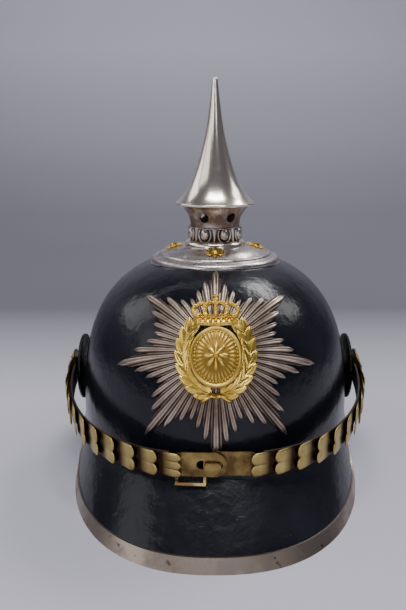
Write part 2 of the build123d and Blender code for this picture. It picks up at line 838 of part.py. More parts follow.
# Crown: a band, five hoops and an orb with a small cross.
crown_plane = plane_on_skull(0, crown_place, crown_rise)
with BuildPart() as crown:
    with BuildSketch(crown_plane):
        Rectangle(crown_band_width, crown_band_height)
        hoop_foot = crown_band_height / 2 - crown_arch_wire / 2
        for number in range(crown_arches):
            share = 2 * number / (crown_arches - 1) - 1
            hoop_half_width = crown_width / 2 / crown_arches + crown_arch_wire / 2
            middle = share * (crown_width / 2 - hoop_half_width)
            with Locations((middle, hoop_foot + crown_arch_height / 2)):
                Ellipse(hoop_half_width, crown_arch_height / 2)
                Ellipse(
                    hoop_half_width - crown_arch_wire,
                    crown_arch_height / 2 - crown_arch_wire,
                    mode=Mode.SUBTRACT,
                )
        with Locations((0, hoop_foot + crown_arch_height)):
            Circle(crown_orb_radius)
            with Locations((0, crown_orb_radius + (crown_finial - crown_finial_wire) / 2)):
                Rectangle(crown_finial_wire, crown_finial)
                Rectangle(crown_finial, crown_finial_wire)
    extrude(amount=crown_sheet)
    with BuildSketch(crown_plane.offset(crown_sheet)):
        Rectangle(crown_band_width - crown_arch_wire, crown_band_height - crown_arch_wire)
    extrude(amount=relief_rise)
save(crown, "crown")

# Rear spine: a strip down the skull's back with a flat pad for the air slider.
pad_plane = spine_plane(slider_height, 0).offset(slider_pad_rise)
with BuildPart() as rear_spine:
    add(skull_form(seat_gap + plate_seat_gap + spine_sheet))
    add(skull_form(plate_seat_gap), mode=Mode.SUBTRACT)
    with BuildSketch(base.offset(spine_bottom_height)):
        with Locations((0, skull_half_length / 2)):
            Rectangle(2 * spine_half_width, skull_half_length + overrun)
    extrude(amount=spine_top_height - spine_bottom_height, mode=Mode.INTERSECT)
    with BuildSketch(pad_plane.offset(-slider_pad_rise - spine_sheet)):
        Rectangle(2 * spine_half_width, slider_pad_length)
    extrude(amount=slider_pad_rise + spine_sheet)
    add(skull_form(plate_seat_gap), mode=Mode.SUBTRACT)
    with BuildSketch(pad_plane.offset(-2 * slider_pad_rise - skull_wall)):
        Circle(spine_screw_radius)
    extrude(amount=3 * slider_pad_rise + skull_wall, mode=Mode.SUBTRACT)
    for height in spine_screw_heights:
        with BuildSketch(spine_plane(height, 0)):
            Circle(spine_screw_shank_radius + hole_gap)
        extrude(amount=3 * spine_sheet, mode=Mode.SUBTRACT)
save(rear_spine, "rear_spine")

with BuildPart() as spine_screws:
    for height in spine_screw_heights:
        head_plane = spine_plane(height, 0).offset(spine_sheet + plate_seat_gap + hole_gap)
        with BuildSketch(head_plane):
            Circle(spine_screw_radius)
        extrude(amount=spine_screw_head, taper=20)
        with BuildSketch(head_plane.offset(-spine_screw_shank_length)):
            Circle(spine_screw_shank_radius)
        extrude(amount=spine_screw_shank_length)
save(spine_screws, "spine_screws")

with BuildPart() as vent_slider:
    with BuildSketch(pad_plane.offset(hole_gap)):
        RectangleRounded(2 * slider_half_width, slider_length, slider_half_width / 2)
    extrude(amount=slider_sheet)
    with BuildSketch(pad_plane.offset(hole_gap + slider_sheet)):
        Circle(slider_knob_radius)
    extrude(amount=slider_knob_height, taper=10)
save(vent_slider, "vent_slider")

# Cockades, rosette screws and their nuts at both sides.
cockade_foot = skull_half_width * oval_share(
    (rosette_height - skull_edge_height) / (skull_top_height - skull_edge_height), skull_fullness
)
cockade_back = cockade_foot + cockade_stand
for side, plane in side_planes.items():
    with BuildPart() as cockade:
        with BuildSketch(Plane(origin=plane.origin, x_dir=plane.x_dir, z_dir=plane.y_dir)):
            with BuildLine():
                Polyline(
                    (side_shank_radius + hole_gap, -cockade_back),
                    (cockade_boss_radius, -cockade_back),
                    (cockade_radius, -cockade_back),
                    (cockade_radius, -cockade_back - cockade_sheet * cockade_rim_share),
                    (cockade_boss_radius, -cockade_back - cockade_sheet),
                    (cockade_boss_radius, -strap_stand + hole_gap),
                    (side_shank_radius + hole_gap, -strap_stand + hole_gap),
                    close=True,
                )
            make_face()
        revolve(axis=Axis(plane.origin, plane.z_dir))
    save(cockade, f"{side}_cockade")

    with BuildPart() as rosette:
        with BuildSketch(plane.offset(strap_stand + scale_sheet + scale_gap)):
            with PolarLocations(side_head_radius / 2, side_head_lobes):
                Circle(side_head_radius / 2)
            Circle(side_head_radius / 2)
        extrude(amount=side_head_height / 2)
        with BuildSketch(plane.offset(strap_stand + scale_sheet + scale_gap + side_head_height / 2)):
            Circle(side_head_radius / 2)
        extrude(amount=side_head_height / 2, taper=35)
        with BuildSketch(plane.offset(cockade_foot - side_shank_reach)):
            Circle(side_shank_radius)
        extrude(amount=strap_stand + scale_sheet + scale_gap - cockade_foot + side_shank_reach)
    save(rosette, f"{side}_rosette")

with BuildPart() as side_nuts:
    for plane in side_planes.values():
        with BuildSketch(plane.offset(cockade_foot - skull_wall - side_nut_gap - nut_thickness)):
            Rectangle(nut_side, nut_side)
            Circle(side_shank_radius + running_gap, mode=Mode.SUBTRACT)
        extrude(amount=nut_thickness)
save(side_nuts, "side_nuts")

# Chin strap. It lies in a plane that droops from the rosette screws to the front, and
# follows a full oval there. Each half is a chain of scales that overlap like tiles: the
# root of each scale lies under the one before, and its lobed tip over the one after.
droop = radians(strap_droop)
strap_forward = Vector(0, -cos(droop), -sin(droop))
strap_up = Vector(0, -sin(droop), cos(droop))
strap_origin = Vector(0, axis_y, rosette_height)
tile_angle = asin((scale_sheet + scale_gap) / scale_pitch)
first_root = (strap_stand - scale_gap - scale_sheet, eyelet_tail - scale_length + scale_pitch)
strap_half_width = first_root[0] / oval_share(first_root[1] / strap_front_stand, strap_fullness)


def strap_point(turn, inset=0.0):
    """A point of the strap's oval, as (across, forward), from the side (0) to the front."""
    half_width = strap_half_width - inset
    front = strap_front_stand - inset
    size = (cos(turn) ** strap_fullness + sin(turn) ** strap_fullness) ** (-1 / strap_fullness)
    return half_width * size * cos(turn), front * size * sin(turn)


def strap_turn(across, forward):
    """The oval's own angle at a point on it."""
    return atan2(forward / strap_front_stand, across / strap_half_width)


def next_on_strap(root, distance):
    """The oval's point at a straight distance further forward from a root."""
    low, high = strap_turn(*root), pi / 2
    while high - low > 1 / overrun**4:
        middle = (low + high) / 2
        across, forward = strap_point(middle)
        beyond = hypot(across - root[0], forward - root[1]) > distance
        low, high = (low, middle) if beyond else (middle, high)
    return strap_point(low)


# Roots and directions of the scales. A direction of 0 points forward, 90 to the middle.
scale_roots = [first_root]
scale_angles = [0.0]
for number in range(scale_count):
    root = scale_roots[-1]
    aim = next_on_strap(root, scale_pitch)
    angle = atan2(root[0] - aim[0], aim[1] - root[1]) - tile_angle
    angle = max(angle, scale_angles[-1])
    if number == 0:
        angle = 0.0
    step = angle + tile_angle
    scale_angles.append(angle)
    scale_roots.append((root[0] - scale_pitch * sin(step), root[1] + scale_pitch * cos(step)))
scale_angles = scale_angles[1:]
end_root = scale_roots.pop()


def strap_plane(side, root, angle):
    """The plane of a scale's inner face: X runs along it towards its tip, Z outwards."""
    sign = {"left": 1, "right": -1}[side]
    origin = strap_origin + Vector(sign * root[0], 0, 0) + strap_forward * root[1]
    along = Vector(-sign * sin(angle), 0, 0) + strap_forward * cos(angle)
    outward = Vector(sign * cos(angle), 0, 0) + strap_forward * sin(angle)
    return Plane(origin=origin, x_dir=along, z_dir=outward)


def lobed_outline(length, width, lobes, root_inset):
    """A scale's outline on the current plane, from its root at X = 0 to its lobed tip."""
    shoulder = length - lobe_depth
    with BuildLine() as outline:
        start = (0, width / 2 - root_inset)
        edge = Line(start, (shoulder, width / 2))
        corner = edge @ 1
        for lobe in range(lobes):
            low = width / 2 - width * (lobe + 1) / lobes
            high = width / 2 - width * lobe / lobes
            foot = shoulder if lobe == lobes - 1 else length - lobe_depth / 2
            ThreePointArc(corner, (length, (low + high) / 2), (foot, low))
            corner = (foot, low)
        Line(corner, (0, -start[1]))
        Line((0, -start[1]), start)
    make_face(outline.edges())


chain = {}
for side in side_planes:
    # Eyelet plate: a ring round the rosette screw with a lobed tail.
    eye_plane = strap_plane(side, (strap_stand, 0), 0)
    with BuildPart() as eyelet:
        with BuildSketch(eye_plane):
            lobed_outline(eyelet_tail, scale_side_width, 2, scale_root_inset)
            Circle(eyelet_radius)
            Circle(side_shank_radius + running_gap, mode=Mode.SUBTRACT)
        extrude(amount=scale_sheet)
    save(eyelet, f"{side}_eyelet_plate")

    hinges = []
    for number, (root, angle) in enumerate(zip(scale_roots, scale_angles), start=1):
        width = scale_side_width + (scale_front_width - scale_side_width) * number / scale_count
        lobes = 3 if side == "right" and number == scale_count else 2
        plate_plane = strap_plane(side, root, angle)
        with BuildPart() as scale_plate:
            with BuildSketch(plate_plane):
                lobed_outline(scale_length, width, lobes, scale_root_inset)
            extrude(amount=scale_sheet)
        save(scale_plate, f"{side}_scale_{number:02d}")
        hinges.append((f"{side}_scale_{number:02d}", plate_plane.origin + plate_plane.z_dir * scale_sheet, angle))

    # Leather under the scales, from the eyelet to the end plate.
    start_turn = strap_turn(strap_half_width, leather_start)
    end_turn = strap_turn(end_root[0] + leather_front_past, end_root[1])
    turns = [
        start_turn + (end_turn - start_turn) * number / (leather_point_count - 1)
        for number in range(leather_point_count)
    ]
    leather_plane = Plane(origin=strap_origin, x_dir=(1, 0, 0), z_dir=strap_up)
    sign = {"left": 1, "right": -1}[side]
    outer = [(sign * x, -y) for x, y in (strap_point(turn, scale_gap) for turn in turns)]
    inner = [(sign * x, -y) for x, y in (strap_point(turn, scale_gap + strap_leather) for turn in turns)]
    with BuildPart() as leather:
        with BuildSketch(leather_plane):
            with BuildLine():
                Spline(*outer)
                Line(outer[-1], inner[-1])
                Spline(*inner[::-1])
                Line(inner[0], outer[0])
            make_face()
        extrude(amount=scale_front_width / 2 - scale_root_inset, both=True)
    save(leather, f"{side}_strap_leather")
    chain[side] = hinges

# End plates: the wearer's right one lies on top and is slotted for the button.
end_width = scale_front_width
under_length = end_root[0] + under_plate_past
over_length = end_root[0] + end_plate_past
over_tilt = asin((scale_sheet + scale_gap) / (end_root[0] - under_plate_past))
end_angles = {"left": pi / 2, "right": pi / 2 - over_tilt}
under_plane = strap_plane("left", end_root, end_angles["left"])
over_plane = strap_plane("right", end_root, end_angles["right"])
slot_far = over_length - slot_end_wall
button_place = slot_far - button_inset - button_length / 2

with BuildPart() as left_end_plate:
    with BuildSketch(under_plane):
        with Locations((under_length / 2, 0)):
            RectangleRounded(under_length, end_width, end_plate_round)
        with Locations((2 * end_root[0] - button_place, 0)):
            Circle(button_shank_radius + seat_gap, mode=Mode.SUBTRACT)
    extrude(amount=scale_sheet)
save(left_end_plate, "left_end_plate")

with BuildPart() as right_end_plate:
    with BuildSketch(over_plane):
        with Locations((over_length / 2, 0)):
            RectangleRounded(over_length, end_width, end_plate_round)
        with Locations((slot_far - slot_length / 2, 0)):
            SlotOverall(slot_length, slot_width, mode=Mode.SUBTRACT)
        with Locations((slot_far - slot_length + slot_hole_radius, 0)):
            Circle(slot_hole_radius, mode=Mode.SUBTRACT)
    extrude(amount=scale_sheet)
save(right_end_plate, "right_end_plate")

# Button: its shank is riveted in the under plate and its oval head stands over the slot.
button_height = scale_sheet + scale_gap + (slot_far - button_inset) * sin(over_tilt)
with BuildPart() as strap_button:
    with BuildSketch(under_plane):
        with Locations((2 * end_root[0] - button_place, 0)):
            Circle(button_shank_radius)
    extrude(amount=button_height)
    with BuildSketch(under_plane.offset(button_height)):
        with Locations((2 * end_root[0] - button_place, 0)):
            SlotOverall(button_length, button_width)
    extrude(amount=button_sheet)
save(strap_button, "strap_button")

# Frame for the strap's free end: soldered behind the slotted plate, it bends forward
# under the plate and runs down along the visor.
with BuildPart() as strap_frame:
    with BuildSketch(over_plane.offset(-seat_gap - scale_sheet)):
        with Locations((end_root[0] - frame_place, (frame_rise - end_width - hole_gap) / 2)):
            Rectangle(frame_width, frame_rise + hole_gap)
            Rectangle(
                frame_width - 2 * frame_wire,
                frame_rise + hole_gap - 2 * frame_wire,
                mode=Mode.SUBTRACT,
            )
        with Locations((end_root[0] - frame_place, -end_width / 2)):
            Rectangle(frame_width - 2 * frame_wire, 2 * frame_wire + 2 * hole_gap, mode=Mode.SUBTRACT)
    extrude(amount=scale_sheet)
    bend = (
        over_plane.origin
        + over_plane.x_dir * (end_root[0] - frame_place)
        - over_plane.y_dir * (end_width / 2 + hole_gap)
        - over_plane.z_dir * (seat_gap + scale_sheet / 2)
    )
    downhill = Vector(0, skull_half_length - front_reach, -skull_edge_height).normalized()
    with BuildSketch(Plane(origin=bend, x_dir=over_plane.x_dir, z_dir=over_plane.x_dir.cross(downhill))):
        with Locations((0, frame_drop / 2)):
            Rectangle(frame_width, frame_drop)
        with Locations((0, (frame_drop - frame_wire) / 2)):
            Rectangle(frame_width - 2 * frame_wire, frame_drop - frame_wire, mode=Mode.SUBTRACT)
    extrude(amount=scale_sheet / 2, both=True)
save(strap_frame, "strap_frame")
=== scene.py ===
# %% [markdown]
# A lacquered leather helmet with a metal spike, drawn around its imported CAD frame.
# The CAD gives every size and joint. This script adds what the eye needs: the fluted
# star, the laurel wreath, dished scales, cockades, and the wear on leather and metal.
# Points are computed in millimetres and become metres when a mesh is made. The helmet
# looks along -Y, and its wearer's left side is at +X.

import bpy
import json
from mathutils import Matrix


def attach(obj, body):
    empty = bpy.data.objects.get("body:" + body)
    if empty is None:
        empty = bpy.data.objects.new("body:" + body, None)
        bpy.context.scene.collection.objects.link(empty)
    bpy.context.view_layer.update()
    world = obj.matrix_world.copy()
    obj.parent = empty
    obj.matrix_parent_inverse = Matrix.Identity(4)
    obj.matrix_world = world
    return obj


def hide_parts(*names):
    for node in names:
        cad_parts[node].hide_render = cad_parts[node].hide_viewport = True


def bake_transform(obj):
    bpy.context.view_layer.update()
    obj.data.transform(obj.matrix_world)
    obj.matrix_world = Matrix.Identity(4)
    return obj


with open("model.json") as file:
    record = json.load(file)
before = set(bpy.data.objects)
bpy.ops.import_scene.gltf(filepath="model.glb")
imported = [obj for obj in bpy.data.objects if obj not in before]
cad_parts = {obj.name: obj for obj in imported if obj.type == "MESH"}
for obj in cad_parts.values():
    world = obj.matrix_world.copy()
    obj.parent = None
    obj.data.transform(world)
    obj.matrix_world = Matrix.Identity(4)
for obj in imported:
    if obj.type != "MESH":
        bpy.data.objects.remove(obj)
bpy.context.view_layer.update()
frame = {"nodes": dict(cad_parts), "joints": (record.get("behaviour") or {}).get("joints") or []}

# %% [markdown]
# Some sizes are needed by several pieces, so they are named once, here, as the CAD was
# built with them. The skull is a superellipsoid: a ball with a power for its roundness,
# where 2 gives an egg and more gives squarer shoulders. Pieces that lie on the skull are
# drawn on this formula, because it is smoother than the triangles of the CAD mesh.

# %% Tools and shared sizes
import json
import math
import random

import bpy
import numpy as np
from mathutils import Vector
from mathutils.bvhtree import BVHTree

mm = 0.001
axis_y = 2.0
skull_side, skull_length = 92.0, 110.0
skull_edge, skull_top = 38.0, 146.0
skull_power = 2.75
rosette_height = 64.0
strap_droop = math.radians(9.1)
dice = random.Random(7)
print("the skull is", 2 * skull_side, "by", 2 * skull_length, "mm outside")

# %% [markdown]
# Materials. Old leather and metal are never one even colour. A painted texture would need
# a picture for each piece, so each finish is made from noise instead: a Principled surface
# whose colour, roughness and height come from noise in object space. The helpers below
# make one node each, which keeps the finishes themselves short.


# %% Material helpers
def new_material(name):
    """A material with an empty node tree, its Principled node and a coordinate output."""
    material = bpy.data.materials.new(name)
    material.use_nodes = True
    tree = material.node_tree
    tree.nodes.clear()
    surface = tree.nodes.new("ShaderNodeBsdfPrincipled")
    output = tree.nodes.new("ShaderNodeOutputMaterial")
    tree.links.new(surface.outputs["BSDF"], output.inputs["Surface"])
    place = tree.nodes.new("ShaderNodeTexCoord")
    return material, tree, surface, place.outputs["Object"]


def noise(tree, place, scale, detail=4.0, roughness=0.55, stretch=None):
    """A noise value between 0 and 1. The stretch squeezes it along the three axes."""
    node = tree.nodes.new("ShaderNodeTexNoise")
    node.inputs["Scale"].default_value = scale
    node.inputs["Detail"].default_value = detail
    node.inputs["Roughness"].default_value = roughness
    if stretch:
        mapping = tree.nodes.new("ShaderNodeMapping")
        mapping.inputs["Scale"].default_value = stretch
        mapping.inputs["Rotation"].default_value = (0.3, 0.2, 0.5)
        tree.links.new(place, mapping.inputs["Vector"])
        place = mapping.outputs["Vector"]
    tree.links.new(place, node.inputs["Vector"])
    return node.outputs["Fac"]


def between(tree, value, low_in, high_in, low_out=0.0, high_out=1.0):
    """The value mapped from one range to another, and held at its ends."""
    node = tree.nodes.new("ShaderNodeMapRange")
    ends = {"From Min": low_in, "From Max": high_in, "To Min": low_out, "To Max": high_out}
    for key, number in ends.items():
        node.inputs[key].default_value = number
    tree.links.new(value, node.inputs["Value"])
    return node.outputs["Result"]


def combine(tree, operation, first, second):
    """Two values put together by a Math node."""
    node = tree.nodes.new("ShaderNodeMath")
    node.operation = operation
    tree.links.new(first, node.inputs[0])
    tree.links.new(second, node.inputs[1])
    return node.outputs[0]


def mix(tree, share, first, second):
    """A mix of two colours. Each is a colour tuple or the output of another node."""
    node = tree.nodes.new("ShaderNodeMix")
    node.data_type = "RGBA"
    tree.links.new(share, node.inputs["Factor"])
    for key, colour in (("A", first), ("B", second)):
        socket = [s for s in node.inputs if s.name == key and s.type == "RGBA"][0]
        if isinstance(colour, tuple):
            socket.default_value = (*colour, 1)
        else:
            tree.links.new(colour, socket)
    return [s for s in node.outputs if s.type == "RGBA"][0]


def bump(tree, surface, heights):
    """Chains bumps into the surface's normal. Heights are (value, strength, distance mm)."""
    last = None
    for value, strength, distance in heights:
        node = tree.nodes.new("ShaderNodeBump")
        node.inputs["Strength"].default_value = strength
        node.inputs["Distance"].default_value = distance * mm
        tree.links.new(value, node.inputs["Height"])
        if last is not None:
            tree.links.new(last, node.inputs["Normal"])
        last = node.outputs["Normal"]
    tree.links.new(last, surface.inputs["Normal"])


def attribute(tree, name):
    """A value stored on a mesh's points."""
    node = tree.nodes.new("ShaderNodeAttribute")
    node.attribute_name = name
    return node.outputs["Fac"]


# %% [markdown]
# The skull and the visors are leather under many coats of black lacquer. From near, the
# coat shows slow waves and a fine grain, and hairline scratches that cross in scuffed
# places. A scratch is a noise that is stretched until its peaks are thin lines; two of
# them at different angles are joined, and a third noise says where they may show.


# %% Lacquered leather
def lacquer(name, scratches, haze):
    """Black lacquer. Scratches go from 0 to 1, and the haze is its mean roughness."""
    material, tree, surface, place = new_material(name)
    cloud = noise(tree, place, 22, 5, 0.6)
    grain = noise(tree, place, 420, 4, 0.6)
    waves = noise(tree, place, 75, 3, 0.6)
    hair = noise(tree, place, 60, 3, 0.6, (1.0, 14.0, 5.0))
    cross = noise(tree, place, 55, 3, 0.6, (11.0, 1.2, 9.0))
    scuff = noise(tree, place, 38, 2, 0.5)
    line_peaks = [between(tree, value, 0.69, 0.75) for value in (hair, cross)]
    lines = combine(tree, "MAXIMUM", *line_peaks)
    scuffed = combine(tree, "MULTIPLY", lines, between(tree, scuff, 0.5, 0.68, 0.0, scratches))
    dark = mix(tree, between(tree, cloud, 0.3, 0.7), (0.0045, 0.005, 0.009), (0.011, 0.012, 0.018))
    tree.links.new(mix(tree, scuffed, dark, (0.16, 0.15, 0.15)), surface.inputs["Base Color"])
    roughness = between(tree, cloud, 0.3, 0.75, haze - 0.07, haze + 0.1)
    tree.links.new(roughness, surface.inputs["Roughness"])
    surface.inputs["Specular IOR Level"].default_value = 0.32
    bump(tree, surface, [(waves, 0.4, 1.4), (grain, 0.22, 0.16), (lines, 0.12, 0.08)])
    return material


skull_lacquer = lacquer("skull_lacquer", 0.35, 0.2)
visor_lacquer = lacquer("visor_lacquer", 1.0, 0.24)
print("lacquer:", skull_lacquer.name, visor_lacquer.name)

# %% [markdown]
# The leather of the inside and of the strap was never lacquered: it is matt, with a fine
# grain, and darker where it was touched. The cap inside is plain woven cloth. Its threads
# are far too fine to be modelled, so a wave texture raises them as a bump.


# %% Plain leather and cloth
def plain_leather(name, colour, darker):
    """Matt leather with a fine grain and darker patches."""
    material, tree, surface, place = new_material(name)
    patches = noise(tree, place, 30, 4, 0.6)
    grain = noise(tree, place, 260, 5, 0.6)
    patched = mix(tree, between(tree, patches, 0.35, 0.7), colour, darker)
    tree.links.new(patched, surface.inputs["Base Color"])
    tree.links.new(between(tree, grain, 0.3, 0.7, 0.55, 0.8), surface.inputs["Roughness"])
    bump(tree, surface, [(grain, 0.35, 0.25)])
    return material


lining_leather = plain_leather("lining_leather", (0.12, 0.055, 0.03), (0.06, 0.03, 0.018))
strap_leather = plain_leather("strap_leather", (0.035, 0.02, 0.018), (0.014, 0.012, 0.014))

lining_cloth, tree, surface, place = new_material("lining_cloth")
weave = tree.nodes.new("ShaderNodeTexWave")
weave.inputs["Scale"].default_value = 420
weave.inputs["Distortion"].default_value = 1.5
tree.links.new(place, weave.inputs["Vector"])
soil = between(tree, noise(tree, place, 24, 4, 0.6), 0.35, 0.7)
cloth_colour = mix(tree, soil, (0.27, 0.22, 0.15), (0.16, 0.125, 0.085))
tree.links.new(cloth_colour, surface.inputs["Base Color"])
surface.inputs["Roughness"].default_value = 0.92
bump(tree, surface, [(weave.outputs["Fac"], 0.5, 0.15)])
print("inside:", lining_leather.name, strap_leather.name, lining_cloth.name)

# %% [markdown]
# Silver, nickel, brass, gilt and steel tarnish in the same way: in clouds, with small dark
# spots, and the tarnished parts are duller as well as darker. One helper therefore makes
# them all, and each finish is a pair of colours and a few shares.


# %% Metals
def metal(name, clean, tarnished, amount, gloss, dull, cloud_size=45, spots=0.0, dents=0.1):
    """Metal that is tarnished over an amount, with a roughness where clean and where dull."""
    material, tree, surface, place = new_material(name)
    cloud = noise(tree, place, cloud_size, 5, 0.62)
    fine = noise(tree, place, 520, 4, 0.65)
    pits = noise(tree, place, 210, 3, 0.55)
    share = between(tree, cloud, 0.62 - amount / 2, 0.78 - amount / 2)
    colour = mix(tree, share, clean, tarnished)
    if spots:
        stains = between(tree, pits, 0.72 - spots / 10, 0.78 - spots / 10, 0.0, 0.85)
        colour = mix(tree, stains, colour, tuple(c * 0.3 for c in tarnished))
    tree.links.new(colour, surface.inputs["Base Color"])
    surface.inputs["Metallic"].default_value = 1.0
    tree.links.new(between(tree, share, 0.0, 1.0, gloss, dull), surface.inputs["Roughness"])
    bump(tree, surface, [(cloud, dents, 0.5), (fine, 0.08, 0.05)])
    return material


spike_silver = metal(
    "spike_silver", clean=(0.91, 0.82, 0.70), tarnished=(0.74, 0.65, 0.53),
    amount=0.1, gloss=0.2, dull=0.3, cloud_size=60, spots=0.15, dents=0.03,
)
neck_silver = metal(
    "neck_silver", clean=(0.50, 0.44, 0.39), tarnished=(0.20, 0.14, 0.10),
    amount=0.5, gloss=0.27, dull=0.45, cloud_size=90, spots=0.4,
)
plate_silver = metal(
    "plate_silver", clean=(0.66, 0.61, 0.59), tarnished=(0.30, 0.235, 0.22),
    amount=0.32, gloss=0.27, dull=0.5, cloud_size=55, spots=0.5,
)
trim_nickel = metal(
    "trim_nickel", clean=(0.37, 0.31, 0.265), tarnished=(0.23, 0.185, 0.155),
    amount=0.3, gloss=0.33, dull=0.5, cloud_size=38, spots=0.6, dents=0.15,
)
spine_nickel = metal(
    "spine_nickel", clean=(0.60, 0.54, 0.49), tarnished=(0.34, 0.28, 0.24),
    amount=0.35, gloss=0.3, dull=0.5, cloud_size=40, spots=0.4,
)
plain_steel = metal(
    "plain_steel", clean=(0.40, 0.38, 0.36), tarnished=(0.22, 0.17, 0.13),
    amount=0.4, gloss=0.4, dull=0.6,
)
gilt = metal(
    "gilt", clean=(0.88, 0.61, 0.13), tarnished=(0.62, 0.39, 0.07),
    amount=0.25, gloss=0.24, dull=0.42, cloud_size=80, spots=0.1,
)
plate_brass = metal(
    "plate_brass", clean=(0.44, 0.32, 0.115), tarnished=(0.17, 0.105, 0.04),
    amount=0.5, gloss=0.3, dull=0.5, cloud_size=45, spots=0.45,
)
cockade_black = metal(
    "cockade_black", clean=(0.035, 0.036, 0.04), tarnished=(0.02, 0.018, 0.016),
    amount=0.4, gloss=0.3, dull=0.5, cloud_size=60, spots=0.3,
)
print("materials so far:", len(bpy.data.materials))

# %% [markdown]
# Shade falls in the hollows: in the flutes of the star, in the relief of the shield and the neck, and
# where a scale comes out from under the one before. That shade is painted into the colour. Noise
# doesn't know where the hollows are, but the code that makes the mesh does. It stores a value on each
# point, and these metals read it to paint the shade.


# %% Metals that read a stored value
def fluted_metal(name, painted_shade, light, dull):
    """Metal with painted shade: dark where the mesh's ridge value is low."""
    material, tree, surface, place = new_material(name)
    ridge = attribute(tree, "ridge")
    patina = noise(tree, place, 60, 5, 0.6)
    streaks = noise(tree, place, 700, 3, 0.6)
    raised = mix(tree, between(tree, patina, 0.35, 0.7), light, dull)
    # Painted shade: where the ridge value is low, in the hollows, the colour goes to the dark shade
    # colour.
    colour = mix(tree, between(tree, ridge, 0.2, 0.8), painted_shade, raised)
    tree.links.new(colour, surface.inputs["Base Color"])
    surface.inputs["Metallic"].default_value = 1.0
    tree.links.new(between(tree, ridge, 0.1, 0.9, 0.52, 0.3), surface.inputs["Roughness"])
    bump(tree, surface, [(streaks, 0.25, 0.1)])
    return material


star_silver = fluted_metal(
    "star_silver", painted_shade=(0.035, 0.02, 0.013), light=(0.68, 0.56, 0.46), dull=(0.26, 0.185, 0.14)
)
relief_gilt = fluted_metal(
    "relief_gilt", painted_shade=(0.20, 0.095, 0.012), light=(0.98, 0.73, 0.21), dull=(0.75, 0.52, 0.125)
)
relief_silver = fluted_metal(
    "relief_silver", painted_shade=(0.05, 0.035, 0.028), light=(0.62, 0.56, 0.50), dull=(0.36, 0.29, 0.25)
)

scale_brass, tree, surface, place = new_material("scale_brass")
along = attribute(tree, "along")
tarnish = noise(tree, place, 70, 5, 0.6)
specks = noise(tree, place, 330, 3, 0.6)
brass_tone = mix(tree, between(tree, tarnish, 0.35, 0.72), (0.60, 0.46, 0.175), (0.38, 0.27, 0.095))
# Painted shade: each scale is painted near black at its root, where the scale before covers it, and
# fades to the brass between two fifths and three quarters of its length.
shaded = mix(tree, between(tree, along, 0.42, 0.72), (0.04, 0.02, 0.01), brass_tone)
speckled = mix(tree, between(tree, specks, 0.64, 0.72, 0.0, 0.6), shaded, (0.10, 0.06, 0.03))
tree.links.new(speckled, surface.inputs["Base Color"])
surface.inputs["Metallic"].default_value = 1.0
tree.links.new(between(tree, tarnish, 0.3, 0.7, 0.27, 0.46), surface.inputs["Roughness"])
bump(tree, surface, [(tarnish, 0.12, 0.4), (specks, 0.1, 0.06)])
for material in (star_silver, relief_gilt, relief_silver, scale_brass):
    print("reads a stored value:", material.name)

# %% [markdown]
# Every CAD node gets its finish, also the ones that finer meshes will stand for. What
# isn't in the list is a plate, a screw or a fitting of the strap, and is brass.

# %% Give every CAD node its material
by_material = {
    skull_lacquer: ["skull_shell"],
    visor_lacquer: ["front_visor", "rear_visor"],
    lining_leather: ["front_visor_lining", "rear_visor_lining", "sweatband"],
    strap_leather: ["left_strap_leather", "right_strap_leather"],
    lining_cloth: ["crown_lining"],
    trim_nickel: ["front_visor_trim"],
    plate_silver: ["base_plate", "star_plate"],
    neck_silver: ["spike_neck"],
    spike_silver: ["spike", "neck_ring"],
    gilt: ["wreath", "shield", "crown", "base_studs"],
    spine_nickel: ["rear_spine", "spine_screws", "vent_slider"],
    cockade_black: ["left_cockade", "right_cockade"],
    plain_steel: ["base_stud_nuts", "star_nuts", "side_nuts", "spike_bush", "spike_stud"],
}
finish_of = {node: material for material, nodes in by_material.items() for node in nodes}
for node, piece in frame["nodes"].items():
    piece.data.materials.clear()
    piece.data.materials.append(finish_of.get(node, plate_brass))
print(len(frame["nodes"]), "nodes, of them brass:", len(set(frame["nodes"]) - set(finish_of)))

# %% [markdown]
# Almost every ornament is a sheet of metal, so one helper serves them all: a grid of
# points for the face, a second grid of the same size for the back, and edges between.
# That gives a closed solid without a modifier, and each point can be placed by a formula.


# %% Mesh helpers
def piece_from(name, points, faces, material, body="helmet", smooth=True, values=None):
    """A mesh object from millimetre points that rides on a CAD body, if one is named."""
    mesh = bpy.data.meshes.new(name)
    mesh.from_pydata([tuple(np.asarray(p) * mm) for p in points], [], faces)
    mesh.polygons.foreach_set("use_smooth", [smooth] * len(mesh.polygons))
    for key, numbers in (values or {}).items():
        mesh.attributes.new(key, "FLOAT", "POINT").data.foreach_set("value", numbers)
    mesh.materials.append(material)
    piece = bpy.data.objects.new(name, mesh)
    bpy.context.collection.objects.link(piece)
    if body:
        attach(piece, body)
    return piece


def plate_faces(rows, columns, around=False):
    """Faces of a plate: a top grid, then a bottom grid of the same size, and its edges."""
    faces, edges = [], []
    bottom = rows * columns
    last = columns if around else columns - 1
    for row in range(rows - 1):
        for column in range(last):
            a = row * columns + column
            b = row * columns + (column + 1) % columns
            c, d = b + columns, a + columns
            faces.append((a, b, c, d))
            faces.append((bottom + d, bottom + c, bottom + b, bottom + a))
    for column in range(last):
        after = (column + 1) % columns
        edges.append((after, column))
        edges.append(((rows - 1) * columns + column, (rows - 1) * columns + after))
    if not around:
        for row in range(rows - 1):
            edges.append((row * columns, (row + 1) * columns))
            edges.append(((row + 2) * columns - 1, (row + 1) * columns - 1))
    faces.extend((a, b, bottom + b, bottom + a) for a, b in edges)
    return faces


print("the smallest plate has", len(plate_faces(2, 2)), "faces")

# %% [markdown]
# The star and its ornaments are stamped flat and then bent to the skull. A Shrinkwrap
# modifier could bend them, but its result would have to be baked into the mesh before
# export. Here the same is done with numbers: a place is given flat, across and up the
# star, and the formula of the skull says how far back it lies. Forty halvings find the
# depth to far below a micrometre.

